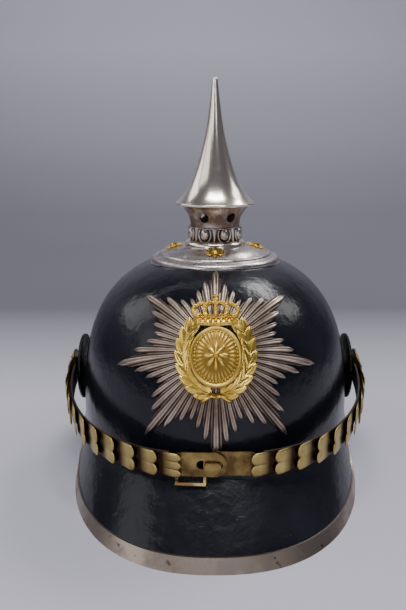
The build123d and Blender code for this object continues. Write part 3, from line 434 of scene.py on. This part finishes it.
# %% Places on the skull
star_height, star_lean = 104.5, math.radians(33.0)
height_share = (star_height - skull_edge) / (skull_top - skull_edge)
skull_reach = skull_length * (1 - height_share**skull_power) ** (1 / skull_power)
star_back = np.array([0, -math.cos(star_lean), math.sin(star_lean)])
star_up = np.array([0, math.sin(star_lean), math.cos(star_lean)])
star_middle = np.array([0, axis_y - skull_reach, star_height])


def on_skull(across, up, rise):
    """Points a rise above the skull, straight behind places on the star's plane."""
    across, up, rise = np.broadcast_arrays(*(np.asarray(v, float) for v in (across, up, rise)))
    flat = star_middle + across[..., None] * np.array([1, 0, 0]) + up[..., None] * star_up
    near = np.full(across.shape, -skull_side)
    far = rise + 4.0
    for _ in range(40):
        middle = (near + far) / 2
        point = flat + middle[..., None] * star_back
        height = np.clip((point[..., 2] - skull_edge) / (skull_top - skull_edge + rise), 0, None)
        round_share = np.hypot(
            point[..., 0] / (skull_side + rise),
            (point[..., 1] - axis_y) / (skull_length + rise),
        )
        inside = round_share**skull_power + height**skull_power < 1
        near = np.where(inside, middle, near)
        far = np.where(inside, far, middle)
    return flat + near[..., None] * star_back


print("star centre in mm:", star_middle.round(1))

# %% [markdown]
# The star. Forty-eight rays stand round it and every sixth one is long, so it has eight
# points. Each ray is a bundle of three flutes with its own jagged end. One ray could be
# copied round, but copies look alike, and a height texture on a disc would have no
# outline. So the star is one grid in rings and columns: every column asks how long its
# ray is and how high its flute stands. The dice give each ray and flute its own length.

# %% Lengths of the rays
rays, flutes, columns_per_flute = 48, 3, 6
columns_per_ray = flutes * columns_per_flute
star_columns, star_rings = rays * columns_per_ray, 22
star_radius, star_hub_radius = 60.0, 12.0
ray_shares = (1.0, 0.83, 0.735, 0.665, 0.735, 0.83)
shortest_share, shoulder_drop = 0.955, 0.17
column = np.arange(star_columns)
star_turns = 2 * math.pi * column / star_columns
ray_place = (column / columns_per_ray + 0.5) % 1 - 0.5
ray_number = np.floor(column / columns_per_ray + 0.5).astype(int) % rays
flute_place = column % columns_per_flute / columns_per_flute
ray_length = np.array(
    [star_radius * ray_shares[n % 6] * dice.uniform(shortest_share, 1.0) for n in range(rays)]
)
ray_length[::6] = star_radius
flute_share = np.array([dice.uniform(shortest_share, 1.0) for _ in range(rays * flutes)])
jag = flute_share[(column // columns_per_flute) % (rays * flutes)]
ray_tip = ray_length[ray_number] * (1 - shoulder_drop * np.abs(2 * ray_place) ** 1.3) * jag
print("ray lengths from", ray_tip.min().round(1), "to", ray_tip.max().round(1), "mm")

# %% Star
star_back_rise, star_low_rise = 1.1, 1.9
ray_relief, flute_relief, tip_rise = 1.1, 0.85, 1.0
flute_ridge = 1 - np.abs(2 * flute_place - 1)
ray_ridge = 1 - np.abs(2 * ray_place)
share = (np.arange(star_rings) / (star_rings - 1))[:, None]
radius = star_hub_radius + (ray_tip - star_hub_radius)[None, :] * share
across = radius * np.sin(star_turns)[None, :]
up = radius * np.cos(star_turns)[None, :]
fade = np.clip((1 - share) * 9, 0, 1)
ray_rise = ray_relief * ray_ridge[None, :] ** 0.8 * (0.35 + 0.65 * fade)
flute_rise = flute_relief * flute_ridge[None, :]
rise_top = star_low_rise + (ray_rise + flute_rise) * (0.55 + 0.45 * share)
rise_top = rise_top * (1 - 0.25 * share) + 0.25 * share * tip_rise
top = on_skull(across, up, rise_top)
bottom = on_skull(across, up, np.full_like(rise_top, star_back_rise))
# The ridge value is low in the hollows between flutes and rays, where star_silver paints its shade.
ridge = (0.45 * ray_ridge + 0.55 * flute_ridge)[None, :] * np.ones_like(share)
star = piece_from(
    "star_rays",
    [*top.reshape(-1, 3), *bottom.reshape(-1, 3)],
    plate_faces(star_rings, star_columns, around=True),
    star_silver,
    values={"ridge": [*ridge.reshape(-1), *ridge.reshape(-1)]},
)
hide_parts("star_plate")
print("star:", len(star.data.polygons), "faces")

# %% [markdown]
# The grid leaves a round hole in the middle of the star. The shield covers it, and a low
# disc closes it for whoever looks past the shield.

# %% Middle of the star
# The disc's low ridge value paints it all in the star's painted shade colour.
disc_radius, disc_rise, disc_ridge = 13.0, 2.2, 0.2
disc_turns = star_turns[::9]
disc_rim = on_skull(disc_radius * np.sin(disc_turns), disc_radius * np.cos(disc_turns), disc_rise)
disc_points = [on_skull(0.0, 0.0, disc_rise), *disc_rim]
disc_faces = [(0, 1 + (n + 1) % len(disc_rim), 1 + n) for n in range(len(disc_rim))]
star_hub = piece_from(
    "star_hub", disc_points, disc_faces, star_silver, values={"ridge": [disc_ridge] * len(disc_points)}
)
print("middle of the star:", len(disc_faces), "faces")

# %% [markdown]
# The gilt wreath. Each laurel leaf is a small grid with a midrib, a raised rim and a tip
# that curls up, laid on the skull at its own place and turn. It could be one leaf and
# forty copies by an array, but every leaf lies on another slope of the skull, so each is
# drawn where it lies. Two sprays of leaves in pairs climb from the foot to the crown.


# %% Leaves on the skull
def laid_leaf(points, faces, middle, turn, length, width, base_rise):
    """Adds one leaf to the lists. The turn is the leaf's direction, anticlockwise from +X."""
    rows, columns = 9, 7
    rib_height, rib_spread, rim_height = 0.55, 0.22, 0.38
    back_rise, face_rise, curl, belly = 0.3, 0.9, 0.72, 0.35
    start = len(points)
    face, back = [], []
    for row in range(rows):
        t = row / (rows - 1)
        half = width / 2 * (math.sin(math.pi * min(1.0, 0.06 + 0.94 * t**0.85)) ** 0.8 + 0.03)
        for column in range(columns):
            s = 2 * column / (columns - 1) - 1
            u, v = (t - 0.5) * length, s * half
            rib = rib_height * math.exp(-((s / rib_spread) ** 2))
            rim = rim_height * abs(s) ** 3
            lift = curl * t**1.6 + belly * (1 - s * s)
            x = middle[0] + u * math.cos(turn) - v * math.sin(turn)
            y = middle[1] + u * math.sin(turn) + v * math.cos(turn)
            face.append((x, y, base_rise + face_rise + lift + rib + rim))
            back.append((x, y, base_rise + back_rise))
    numbers = np.array(face + back)
    points.extend(on_skull(numbers[:, 0], numbers[:, 1], numbers[:, 2]))
    faces.extend(tuple(start + i for i in corners) for corners in plate_faces(rows, columns))


wreath_across, wreath_up = 18.6, 22.6


def ring_place(angle, offset=0.0):
    """A place on the wreath's oval; the angle is counted from its foot."""
    turn = math.radians(angle)
    return (wreath_across + offset) * math.sin(turn), -(wreath_up + offset) * math.cos(turn)


first_leaf, leaf_step, leaf_pairs = 18, 15.6, 8
outer_leaf, inner_leaf = (1, 0.42, 10.5), (-1, 0.36, 9.5)
pair_width, last_width, first_rise, rise_step = 4.9, 4.6, 2.7, 0.12
wreath_points, wreath_faces = [], []
for side in (-1, 1):
    for number in range(leaf_pairs):
        angle = first_leaf + leaf_step * number
        x, y = ring_place(angle)
        ahead = ring_place(angle + 2)
        heading = math.atan2(ahead[1] - y, side * (ahead[0] - x))
        for row, splay, size in (outer_leaf, inner_leaf):
            turn = heading - side * row * splay
            px, py = ring_place(angle + 4.0, 2.0 * row)
            rise = first_rise + rise_step * number
            laid_leaf(wreath_points, wreath_faces, (side * px, py), turn, size, pair_width, rise)
    x, y = ring_place(first_leaf + leaf_step * leaf_pairs)
    turn = math.pi / 2 + side * 0.5
    laid_leaf(wreath_points, wreath_faces, (side * x, y), turn, 9.0, last_width, 3.4)
wreath_leaves = piece_from("wreath_leaves", wreath_points, wreath_faces, gilt)
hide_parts("wreath")
print("wreath:", len(wreath_faces), "faces")

# %% [markdown]
# Stems, ribbon and berries. Stems and ribbon are round bars that follow the skull, so a
# ring of points is carried along their line; a curve with a bevel would look the same but
# would have to be turned into a mesh. The berries are small balls between the leaves.


# %% Bars and balls
def laid_tube(name, places, rises, radii, material=gilt, sides=8):
    """A round bar through places on the star's plane, a rise above the skull."""
    flat = np.array(places, float)
    line = on_skull(flat[:, 0], flat[:, 1], np.array(rises, float))
    points, faces = [], []
    for number, point in enumerate(line):
        before, after = line[max(number - 1, 0)], line[min(number + 1, len(line) - 1)]
        heading = (after - before) / np.linalg.norm(after - before)
        side = np.cross(heading, star_back)
        side /= np.linalg.norm(side)
        out = np.cross(side, heading)
        for k in range(sides):
            turn = 2 * math.pi * k / sides
            points.append(point + radii[number] * (math.cos(turn) * side + math.sin(turn) * out))
    for number in range(len(line) - 1):
        for k in range(sides):
            a, b = number * sides + k, number * sides + (k + 1) % sides
            faces.append((a, b, b + sides, a + sides))
    faces.append(tuple(range(sides))[::-1])
    faces.append(tuple(len(points) - sides + k for k in range(sides)))
    return piece_from(name, points, faces, material)


def ball(points, faces, centre, radius, rings=5, sides=8):
    """Adds a small ball to the lists."""
    start = len(points)
    for ring in range(rings + 1):
        tilt = math.pi * (0.02 + 0.96 * ring / rings)
        for k in range(sides):
            turn = 2 * math.pi * k / sides
            across, along, up = math.cos(turn), math.sin(turn), math.cos(tilt)
            arm = np.array([math.sin(tilt) * across, math.sin(tilt) * along, up])
            points.append(np.asarray(centre) + radius * arm)
    for ring in range(rings):
        for k in range(sides):
            a, b = start + ring * sides + k, start + ring * sides + (k + 1) % sides
            faces.append((b, a, a + sides, b + sides))
    faces.append(tuple(start + k for k in range(sides)))
    faces.append(tuple(start + rings * sides + k for k in range(sides))[::-1])


# %% Stems, ribbon and berries
ribbon_line = ((0.4, -24.0), (3.0, -23.4), (6.0, -25.2), (8.6, -26.9))
berry_radius, berry_rise = 0.85, 4.6
for side, hand in ((-1, "right"), (1, "left")):
    stem = [(side * ring_place(a)[0], ring_place(a)[1]) for a in range(-8, 145, 9)]
    thick = [1.0 - 0.035 * n for n in range(len(stem))]
    laid_tube(f"wreath_stem_{hand}", stem, [3.6] * len(stem), thick)
    ribbon = [(side * x, y) for x, y in ribbon_line]
    ends = laid_tube(f"wreath_ribbon_{hand}", ribbon, [5.0, 5.6, 5.2, 4.4], [1.3, 1.2, 1.1, 0.7])
berry_points, berry_faces = [], []
for side in (-1, 1):
    for number in range(leaf_pairs):
        x, y = ring_place(12 + leaf_step * number, 3.6 if number % 2 else -3.4)
        ball(berry_points, berry_faces, on_skull(side * x, y, berry_rise), berry_radius)
wreath_berries = piece_from("wreath_berries", berry_points, berry_faces, gilt)
print("berries:", 2 * leaf_pairs)

# %% [markdown]
# The shield. The real one carries arms, which aren't copied: this one has a plain device of its own, a
# rosette in a beaded ring on a sunk field of fine rays. It is flat, so it is drawn on its own plane
# and not on the skull. The relief is real height in the mesh, not a bump, because it has to catch the
# light.

# %% Shield
shield_plane = star_middle + star_back * 4.4 - star_up * 2.5
shield_across, shield_up = 14.6, 17.6
shield_rings, shield_sides = 34, 192
shield_base, shield_dome = 1.4, 2.2
petals, fine_rays = 8, 32


def on_shield(x, y, height):
    """A point over the shield's plane, which is flat and square to the star's axis."""
    return shield_plane + np.array([x, 0, 0]) + star_up * y + star_back * height


def shield_relief(share, turn):
    """Height of rim, fine rays and rosette at a share of the oval, in a direction."""
    rim = 1.1 * math.exp(-(((share - 0.95) / 0.045) ** 2))
    field = math.exp(-(((share - 0.66) / 0.11) ** 2))
    ray = 0.35 * max(0.0, math.cos(fine_rays * turn)) * field
    petal_end = max(0.46 * (0.5 + 0.5 * math.cos(petals * turn)) ** 0.35, 0.05)
    vein = 0.55 + 0.45 * abs(math.cos(petals / 2 * turn))
    petal = 1.5 * max(0.0, 1 - (share / petal_end) ** 4) * vein
    return max(rim, ray, petal)


points, under, values = [], [], []
for ring in range(shield_rings):
    share = 0.02 + 0.98 * ring / (shield_rings - 1)
    for k in range(shield_sides):
        turn = 2 * math.pi * k / shield_sides
        x, y = shield_across * share * math.sin(turn), shield_up * share * math.cos(turn)
        relief = shield_relief(share, turn)
        points.append(on_shield(x, y, shield_base + shield_dome * (1 - share**2) + relief))
        under.append(on_shield(x, y, 0.0))
        # The ridge value paints shade into the sunk field: it is about 0.3 there and higher on the
        # rim, rays and rosette.
        values.append(min(1.0, 0.3 + relief))
shield_face = piece_from(
    "shield_face",
    points + under,
    plate_faces(shield_rings, shield_sides, around=True),
    relief_gilt,
    values={"ridge": values * 2},
)
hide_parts("shield")
print("shield:", len(shield_face.data.polygons), "faces")

# %% Beads of the shield
beads, bead_radius, bead_height = 44, 0.55, 2.5
bead_across, bead_up = 12.0, 14.6
boss_radius, boss_height = 2.0, 4.9
bead_points, bead_faces = [], []
for k in range(beads):
    turn = 2 * math.pi * k / beads
    middle = on_shield(bead_across * math.sin(turn), bead_up * math.cos(turn), bead_height)
    ball(bead_points, bead_faces, middle, bead_radius)
ball(bead_points, bead_faces, on_shield(0, 0, boss_height), boss_radius, 7, 14)
shield_beads = piece_from("shield_beads", bead_points, bead_faces, gilt)
print("beads:", beads)

# %% [markdown]
# The crown has a jewelled band, leaves over it, five beaded hoops, an orb and a cross. The
# real one is pierced and all of its edges are beaded. Rows of overlapping balls give that
# look with one helper, where carved hoops would need a profile each. A thin curved band
# behind the jewels closes the gaps between them.

# %% Crown helpers
crown_low = on_skull(0.0, 16.2, 6.0)
crown_up = np.array([0, 0.76, 0.65])
crown_out = np.array([0, -0.65, 0.76])
crown_smile = 0.012
crown_points, crown_faces = [], []


def on_crown(x, y, height):
    """A point of the crown: across, up its face, and out from it. The face bows back."""
    bow = -0.010 * x * x
    return crown_low + np.array([x, 0, 0]) + crown_up * y + crown_out * (height + bow)


def crown_bead(x, y, radius, height, rings=4, sides=7):
    """One bead of the crown."""
    ball(crown_points, crown_faces, on_crown(x, y, height), radius, rings, sides)


print("crown stands on", crown_low.round(1))

# %% Crown
for x in np.arange(-10.2, 10.3, 1.02):
    for y in (-0.5, 3.5):
        crown_bead(x, y + crown_smile * x * x, 0.7, 1.3)
for x in np.arange(-9.0, 9.1, 3.0):
    smile = crown_smile * x * x
    crown_bead(x, 1.5 + smile, 1.1, 1.5, 5, 8)
    for dx, dy in ((-0.8, 0), (0.8, 0), (0, 0.9)):
        crown_bead(x + dx, 4.9 + dy + smile, 0.62, 1.4)
hoop_steps = 15
for foot, bulge in ((0.0, 0.0), (-5.6, -3.0), (5.6, 3.0), (-10.0, -7.2), (10.0, 7.2)):
    for step in range(hoop_steps):
        t = step / (hoop_steps - 1)
        arch = math.sin(math.pi * t)
        x = foot * (1 - t) ** 1.15 + bulge * arch**0.8
        y = 5.0 + 8.2 * math.sin(t * math.pi / 2) ** 1.1
        crown_bead(x, y, 1.6 - 0.45 * t, 1.7 + 1.2 * arch)
        if step % 2 and 1 < step < 13:
            crown_bead(x, y, 0.7, 3.2 + 1.2 * arch)
crown_bead(0, 14.6, 2.0, 2.1, 7, 12)
for x, y in ((0, 16.9), (0, 17.9), (0, 18.9), (-1.2, 17.9), (1.2, 17.9)):
    crown_bead(x, y, 0.8, 2.1)
crown_beads = piece_from("crown_beads", crown_points, crown_faces, gilt)
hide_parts("crown")
print("crown:", len(crown_faces), "faces")

# %% Band behind the jewels
profile = [(-1.2, 0.2), (-0.4, 0.9), (1.4, 1.0), (3.2, 0.9), (4.2, 0.2)]
back_height = -0.9
xs = np.linspace(-10.6, 10.6, 17)
face = [on_crown(x, y + crown_smile * x * x, height) for y, height in profile for x in xs]
back = [on_crown(x, y + crown_smile * x * x, back_height) for y, _ in profile for x in xs]
crown_band = piece_from("crown_band", face + back, plate_faces(len(profile), len(xs)), gilt)
print("crown band:", len(crown_band.data.polygons), "faces")

# %% [markdown]
# The chin strap's scales are stamped brass: flat where the next one covers them, with two
# or three swelling lobes at the free end. The CAD scales are flat. Each is measured for
# its place, length and width, and a dished scale is drawn there on the same body, so that
# it moves as the CAD scale does. Its longest direction comes from the spread of its
# points, which is what the singular values tell.

# %% Places of the scales
strap_up = Vector((0, -math.sin(strap_droop), math.cos(strap_droop)))


def scale_place(node):
    """Root, directions and size of a flat scale: (origin, along, out, length, width) in mm."""
    corners = np.array([v.co for v in frame["nodes"][node].data.vertices], float) / mm
    middle = corners.mean(0)
    across = np.array(strap_up)
    spread = corners - middle
    flat = spread - np.outer(spread @ across, across)
    along = np.linalg.svd(flat, full_matrices=False)[2][0]
    if along[1] > 0 or (abs(along[1]) < 0.2 and along[0] * middle[0] > 0):
        along = -along
    out = np.cross(along, across)
    if out @ (middle - np.array([0, axis_y, middle[2]])) < 0:
        out = -out
    u, v, w = spread @ along, spread @ across, spread @ out
    origin = middle + along * u.min() + across * (v.min() + v.max()) / 2 + out * w.min()
    return origin, along, out, u.max() - u.min(), v.max() - v.min()


print("a scale is", [round(float(v), 1) for v in scale_place("left_scale_05")[3:]], "mm")


# %% Dished scales
def dished_scale(name, node, body, lobes):
    """A scale with a flat root and swelling lobes, standing for a CAD scale."""
    origin, along, out, length, width = scale_place(node)
    across = np.array(strap_up)
    rows, columns = 16, 12 * lobes + 1
    sheet, notch, covered, swell_length, edge_drop = 0.8, 2.7, 6.6, 7.0, 0.22
    top, bottom, values = [], [], []
    for row in range(rows):
        t = row / (rows - 1)
        for column in range(columns):
            s = column / (columns - 1)
            lobe = (s * lobes) % 1.0 if 0 < s < 1 else 0.0
            bulge = math.sqrt(max(0.0, 1 - (2 * lobe - 1) ** 2))
            corner = 0.0 if t < 0.9 else (t - 0.9) * 4.0
            squeeze = 1 - 0.045 * (1 - t) - 0.02 * corner
            u = t * (length - notch * (1 - bulge))
            swell = max(0.0, min(1.0, (u - covered) / swell_length))
            swell = swell * swell * (3 - 2 * swell)
            rise = swell * (0.16 + 0.5 * bulge**0.7 * (1 - 0.45 * t**6))
            edge = edge_drop if row in (0, rows - 1) or column in (0, columns - 1) else 0.0
            flat = origin + along * u + across * ((s - 0.5) * width * squeeze)
            top.append(flat + out * (sheet + rise - edge))
            bottom.append(flat + out * (0.06 + 0.6 * rise))
            # The share along the scale, from root to tip, is what scale_brass paints its shade by.
            values.append(u / length)
    faces = plate_faces(rows, columns)
    piece = piece_from(name, top + bottom, faces, scale_brass, body, values={"along": values * 2})
    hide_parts(node)
    return piece


for side in ("left", "right"):
    for number in range(1, 11):
        body = f"{side}_strap_root" if number == 1 else f"{side}_link_{number:02d}"
        lobes = 3 if side == "right" and number == 10 else 2
        dished_scale(f"{side}_dished_scale_{number:02d}", f"{side}_scale_{number:02d}", body, lobes)
    print(side, "scales:", number)

# %% [markdown]
# Behind the scales runs a leather strap that they are fixed to, so it bends with each of them. One
# stiff mesh would stay curved while the scales straighten, and would cut through the visor. The strap
# is measured instead, by rays from the middle of its oval, and drawn again as short strips. Each strip
# crosses one hinge. Neighbours share a cross-section, so the strips stay joined.

# %% Measuring the strap's leather
strap_forward = Vector((0, -strap_up.z, strap_up.y))
strap_middle = Vector((0, axis_y, rosette_height)) * mm
leather_half_width = 7.0 * mm
past_face = 0.2 * mm
end_margin = 0.003


def strap_angle(point):
    """Angle of a place round the strap's oval, from the side (0) to the front."""
    arm = Vector(point) - strap_middle
    return math.atan2(arm @ strap_forward, abs(arm.x))


def leather_faces(solid, sign, angle):
    """The inner and the outer face of the CAD leather at an angle, in metres."""
    heading = Vector((sign * math.cos(angle), 0, 0)) + strap_forward * math.sin(angle)
    inner = solid.ray_cast(strap_middle, heading)[0]
    outer = solid.ray_cast(inner + heading * past_face, heading)[0]
    return inner, outer


def leather_strip(name, solid, sign, angles):
    """A closed strip of the strap between two angles."""
    rows, outer_side, inner_side = 11, [], []
    for angle in np.linspace(*angles, rows):
        inner, outer = leather_faces(solid, sign, angle)
        for share in (-1, -0.5, 0, 0.5, 1):
            outer_side.append((outer + strap_up * leather_half_width * share) / mm)
            inner_side.append((inner + strap_up * leather_half_width * share) / mm)
    faces = plate_faces(rows, 5)
    if sign < 0:
        faces = [face[::-1] for face in faces]
    return piece_from(name, outer_side + inner_side, faces, strap_leather, None, smooth=False)


print("strap's oval is round", [round(v, 3) for v in strap_middle])

# %% Leather behind the scales
for side, sign in (("left", 1), ("right", -1)):
    node = f"{side}_strap_leather"
    shape = frame["nodes"][node].data
    solid = BVHTree.FromPolygons([v.co for v in shape.vertices], [p.vertices for p in shape.polygons])
    bends = [j for j in frame["joints"] if j["name"] in [f"{side}_bend_{n:02d}" for n in range(2, 11)]]
    hinges = [strap_angle(bend["pos_m"]) for bend in bends]
    ends = [strap_angle(v.co) for v in shape.vertices]
    halfway = [(a + b) / 2 for a, b in zip(hinges, hinges[1:])]
    seams = [2 * hinges[0] - halfway[0], *halfway, 2 * hinges[-1] - halfway[-1]]
    cuts = [min(ends) + end_margin, *halfway, max(ends) - end_margin]
    for number, bend in enumerate(bends):
        name, cut, seam = f"{side}_leather_{number + 2:02d}", cuts[number:][:2], seams[number:][:2]
        strip = leather_strip(name, solid, sign, cut)
        start, end = (sum(leather_faces(solid, sign, angle), Vector()) / 2 for angle in seam)
        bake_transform(strip)
        if number == 0:
            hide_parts(node)
    print(side, "leather:", len(bends), "strips")

# %% [markdown]
# The spike's neck has an egg-and-dart band: eight eggs in raised frames, with a dart
# between each two. Booleans of real eggs would leave seams that are hard to shade. The
# band is a height map wrapped round the neck instead: for each point, the highest of egg,
# frame, dart and upper lip wins.

# %% Egg-and-dart band
eggs, band_radius, band_back_radius = 8, 16.65, 16.1
band_foot, band_height = 155.6, 9.6
band_rows, band_sides = 30, 288
band_start = math.radians(-24.0)
half_gap = math.pi * band_radius / eggs


def band_relief(arc, z):
    """Height of the ornament at a distance beside the nearest egg's middle, and at z."""
    reach = math.hypot(arc / 2.9, (z - 160.6) / 3.9)
    egg = 2.6 * math.sqrt(max(0.0, 1 - reach**2))
    frame_line = 1.5 * math.exp(-(((reach - 1.42) / 0.15) ** 2)) if z < 163.6 else 0.0
    dart_spread = 0.45 + 0.14 * (z - band_foot)
    dart = 1.5 * math.exp(-(((abs(arc) - half_gap) / dart_spread) ** 2))
    lip = 0.9 * math.exp(-(((z - 164.6) / 0.55) ** 2))
    return max(egg, frame_line, dart, lip)


outer, inner, values = [], [], []
for row in range(band_rows):
    z = band_foot + band_height * row / (band_rows - 1)
    fade = min(1.0, row / 1.5, (band_rows - 1 - row) / 1.5)
    for k in range(band_sides):
        turn = band_start + 2 * math.pi * k / band_sides
        arc = ((k / band_sides * eggs + 0.5) % 1.0 - 0.5) * 2 * half_gap
        relief = band_relief(arc, z)
        for side, reach in ((outer, band_radius + 0.1 + relief * fade), (inner, band_back_radius)):
            side.append((reach * math.sin(turn), axis_y - reach * math.cos(turn), z))
        # The ridge value is low between eggs, frames and darts, where relief_silver paints its shade.
        values.append(min(1.0, relief / 1.3))
neck_band = piece_from(
    "neck_band",
    outer + inner,
    plate_faces(band_rows, band_sides, around=True),
    relief_silver,
    values={"ridge": values * 2},
)
print("neck band:", len(neck_band.data.polygons), "faces")

# %% [markdown]
# The cockades are thin discs, crimped like a pie's edge: forty flutes run from the boss to
# the rim. A cosine in the disc's height makes the flutes, and it fades to nothing at the
# boss. The boss under the strap's screw is a turned ring, so its outline is carried round.

# %% Cockades
disc_inner_x, disc_outer_x, disc_fall = 92.6, 96.6, 2.4
boss_edge, cockade_radius = 7.4, 23.0
crimps, crimp_height = 40, 0.45
disc_rings, disc_sides, boss_sides = 14, 160, 40
boss_outline = ((92.5, 2.9), (92.5, 7.5), (97.2, 7.5), (99.6, 6.6), (99.6, 2.9))


def beside(sign, x, reach, turn):
    """A point at a distance from the rosette screw's axis, on one side of the helmet."""
    return sign * x, axis_y + reach * math.sin(turn), rosette_height + reach * math.cos(turn)


for side, sign in (("left", 1), ("right", -1)):
    top, bottom = [], []
    for ring in range(disc_rings):
        share = ring / (disc_rings - 1)
        reach = boss_edge + (cockade_radius - boss_edge) * share
        for k in range(disc_sides):
            turn = 2 * math.pi * k / disc_sides
            crimp = crimp_height * math.cos(crimps * turn) * min(1.0, share * 3)
            top.append(beside(sign, disc_outer_x - disc_fall * share**2 + crimp, reach, turn))
            bottom.append(beside(sign, disc_inner_x + 0.1, reach, turn))
    faces = plate_faces(disc_rings, disc_sides, around=True)
    if sign > 0:
        faces = [face[::-1] for face in faces]
    disc = piece_from(f"{side}_crimped_cockade", top + bottom, faces, cockade_black)
    boss_turns = [2 * math.pi * k / boss_sides for k in range(boss_sides)]
    boss = [beside(sign, x, reach, turn) for x, reach in boss_outline for turn in boss_turns]
    rings = len(boss_outline)
    faces = []
    for ring in range(rings):
        here, after = ring * boss_sides, (ring + 1) % rings * boss_sides
        for k in range(boss_sides):
            beyond = (k + 1) % boss_sides
            faces.append((here + k, here + beyond, after + beyond, after + k))
    hub = piece_from(f"{side}_cockade_boss", boss, faces, cockade_black, smooth=False)
    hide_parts(f"{side}_cockade")
    print(side, "cockade:", len(disc.data.polygons), "faces")

# %% [markdown]
# The stage is a roll of pale paper that sweeps up behind the helmet. In the photograph it is bright
# under the helmet, darker further back and bright again at the top. Part of that is light from the
# lamps, and part is painted light and shade in the paper's colour, which changes slowly with its
# place: lighter near the camera and high up, painted shade further back. That is easier to match than
# a light for every zone.

# %% Floor and backdrop
half_roll = 3.0
flat_floor = [(-1.5, 0.0), (0.35, 0.0), (0.9, 0.0)]
sweep_up = [(1.25, 0.03), (1.5, 0.13), (1.68, 0.32), (1.75, 0.6), (1.75, 2.6)]
profile = flat_floor + sweep_up
sweep_points = [(x, y, z) for y, z in profile for x in (-half_roll, half_roll)]
sweep_faces = [(2 * n, 2 * n + 1, 2 * n + 3, 2 * n + 2) for n in range(len(profile) - 1)]
sweep_mesh = bpy.data.meshes.new("backdrop")
sweep_mesh.from_pydata(sweep_points, [], sweep_faces)
sweep_mesh.polygons.foreach_set("use_smooth", [True] * len(sweep_mesh.polygons))
backdrop = bpy.data.objects.new("backdrop", sweep_mesh)
bpy.context.collection.objects.link(backdrop)

paper, tree, surface, place = new_material("paper")
grain = noise(tree, place, 3, 2, 0.5)
parts = tree.nodes.new("ShaderNodeSeparateXYZ")
tree.links.new(place, parts.inputs["Vector"])
depth, height = parts.outputs["Y"], parts.outputs["Z"]
# Painted light and shade: the paper is painted lighter towards the camera and up the sweep, and
# painted darker on the floor further back, where the light falls off.
near = mix(tree, grain, (0.50, 0.492, 0.575), (0.53, 0.52, 0.605))
far = mix(tree, between(tree, depth, 0.45, 1.2), (0.145, 0.14, 0.17), (0.205, 0.198, 0.24))
front = mix(tree, between(tree, depth, -0.3, 0.08), (0.60, 0.59, 0.69), near)
floor = mix(tree, between(tree, depth, 0.1, 0.42), front, far)
paper_painted_light = mix(tree, between(tree, height, 0.0, 0.5), floor, (0.55, 0.54, 0.63))
tree.links.new(paper_painted_light, surface.inputs["Base Color"])
surface.inputs["Roughness"].default_value = 0.8
sweep_mesh.materials.append(paper)
print("backdrop:", len(sweep_faces), "strips")

# %% [markdown]
# Lacquer and polished metal show the lights as shapes, so each light is a soft box where
# the photograph's highlights say that one stood. The direction of a highlight was worked
# out from the skull's formula: the ray from the camera is mirrored at the bright spot, and
# the box is put along it.


# %% Lights
def soft_box(name, place, target, width, height, watts):
    """A rectangular light that faces a target, both in metres."""
    light = bpy.data.lights.new(name, "AREA")
    light.shape = "RECTANGLE"
    light.size, light.size_y = width, height
    light.energy = watts
    lamp = bpy.data.objects.new(name, light)
    lamp.location = place
    lamp.rotation_euler = (Vector(target) - Vector(place)).to_track_quat("-Z", "Y").to_euler()
    bpy.context.collection.objects.link(lamp)
    return lamp


aim = (0, 0, 0.13)
soft_box("left_top_box", (-1.0, 0.35, 0.85), aim, 0.6, 0.6, 2.4)
soft_box("right_top_box", (1.0, 0.35, 1.05), aim, 0.5, 0.5, 3)
soft_box("left_fill", (-1.5, -0.7, 1.0), aim, 1.3, 0.9, 5)
soft_box("back_top_box", (0.58, 0.6, 1.22), aim, 0.5, 0.22, 5.5)
soft_box("ceiling_box", (0.03, -0.34, 1.38), aim, 0.75, 0.34, 11)
soft_box("left_strip", (-0.75, -1.25, 0.45), aim, 0.3, 0.7, 2.4)
soft_box("right_strip", (0.5, -1.4, 0.4), aim, 0.2, 0.7, 2.5)
soft_box("front_low_box", (-0.1, -1.9, 0.3), aim, 1.3, 0.25, 2.0)
soft_box("back_wash", (0, 0.7, 1.3), (0, 1.7, 0.5), 2.0, 0.3, 6.5)
world = bpy.data.worlds.new("room")
bpy.context.scene.world = world
world.use_nodes = True
room = world.node_tree.nodes["Background"]
room.inputs["Color"].default_value = (0.58, 0.58, 0.69, 1)
room.inputs["Strength"].default_value = 0.17

# %% [markdown]
# The camera stands where the photograph's did: near, level with the middle of the spike
# and looking down. Being near makes the visor look large, so the distance matters more than
# the lens. The focal length was fitted in pixels of the photograph, and Blender's lens is
# that share of its sensor.

# %% Camera
yaw, pitch = math.radians(0.3), math.radians(14.0)
distance, eye_height = 0.450, 0.221
picture_height, focal_pixels, shift_pixels = 610, 657, -12
sensor = 36
camera_data = bpy.data.cameras.new("camera")
camera_data.lens = focal_pixels / picture_height * sensor
camera_data.shift_x = shift_pixels / picture_height
camera = bpy.data.objects.new("camera", camera_data)
camera.location = (
    -distance * math.sin(yaw),
    axis_y * mm - distance * math.cos(yaw),
    eye_height,
)
gaze = Vector((math.sin(yaw) * math.cos(pitch), math.cos(yaw) * math.cos(pitch), -math.sin(pitch)))
camera.rotation_euler = gaze.to_track_quat("-Z", "Y").to_euler()
bpy.context.collection.objects.link(camera)
bpy.context.scene.camera = camera
print("camera at", [round(v, 3) for v in camera.location])
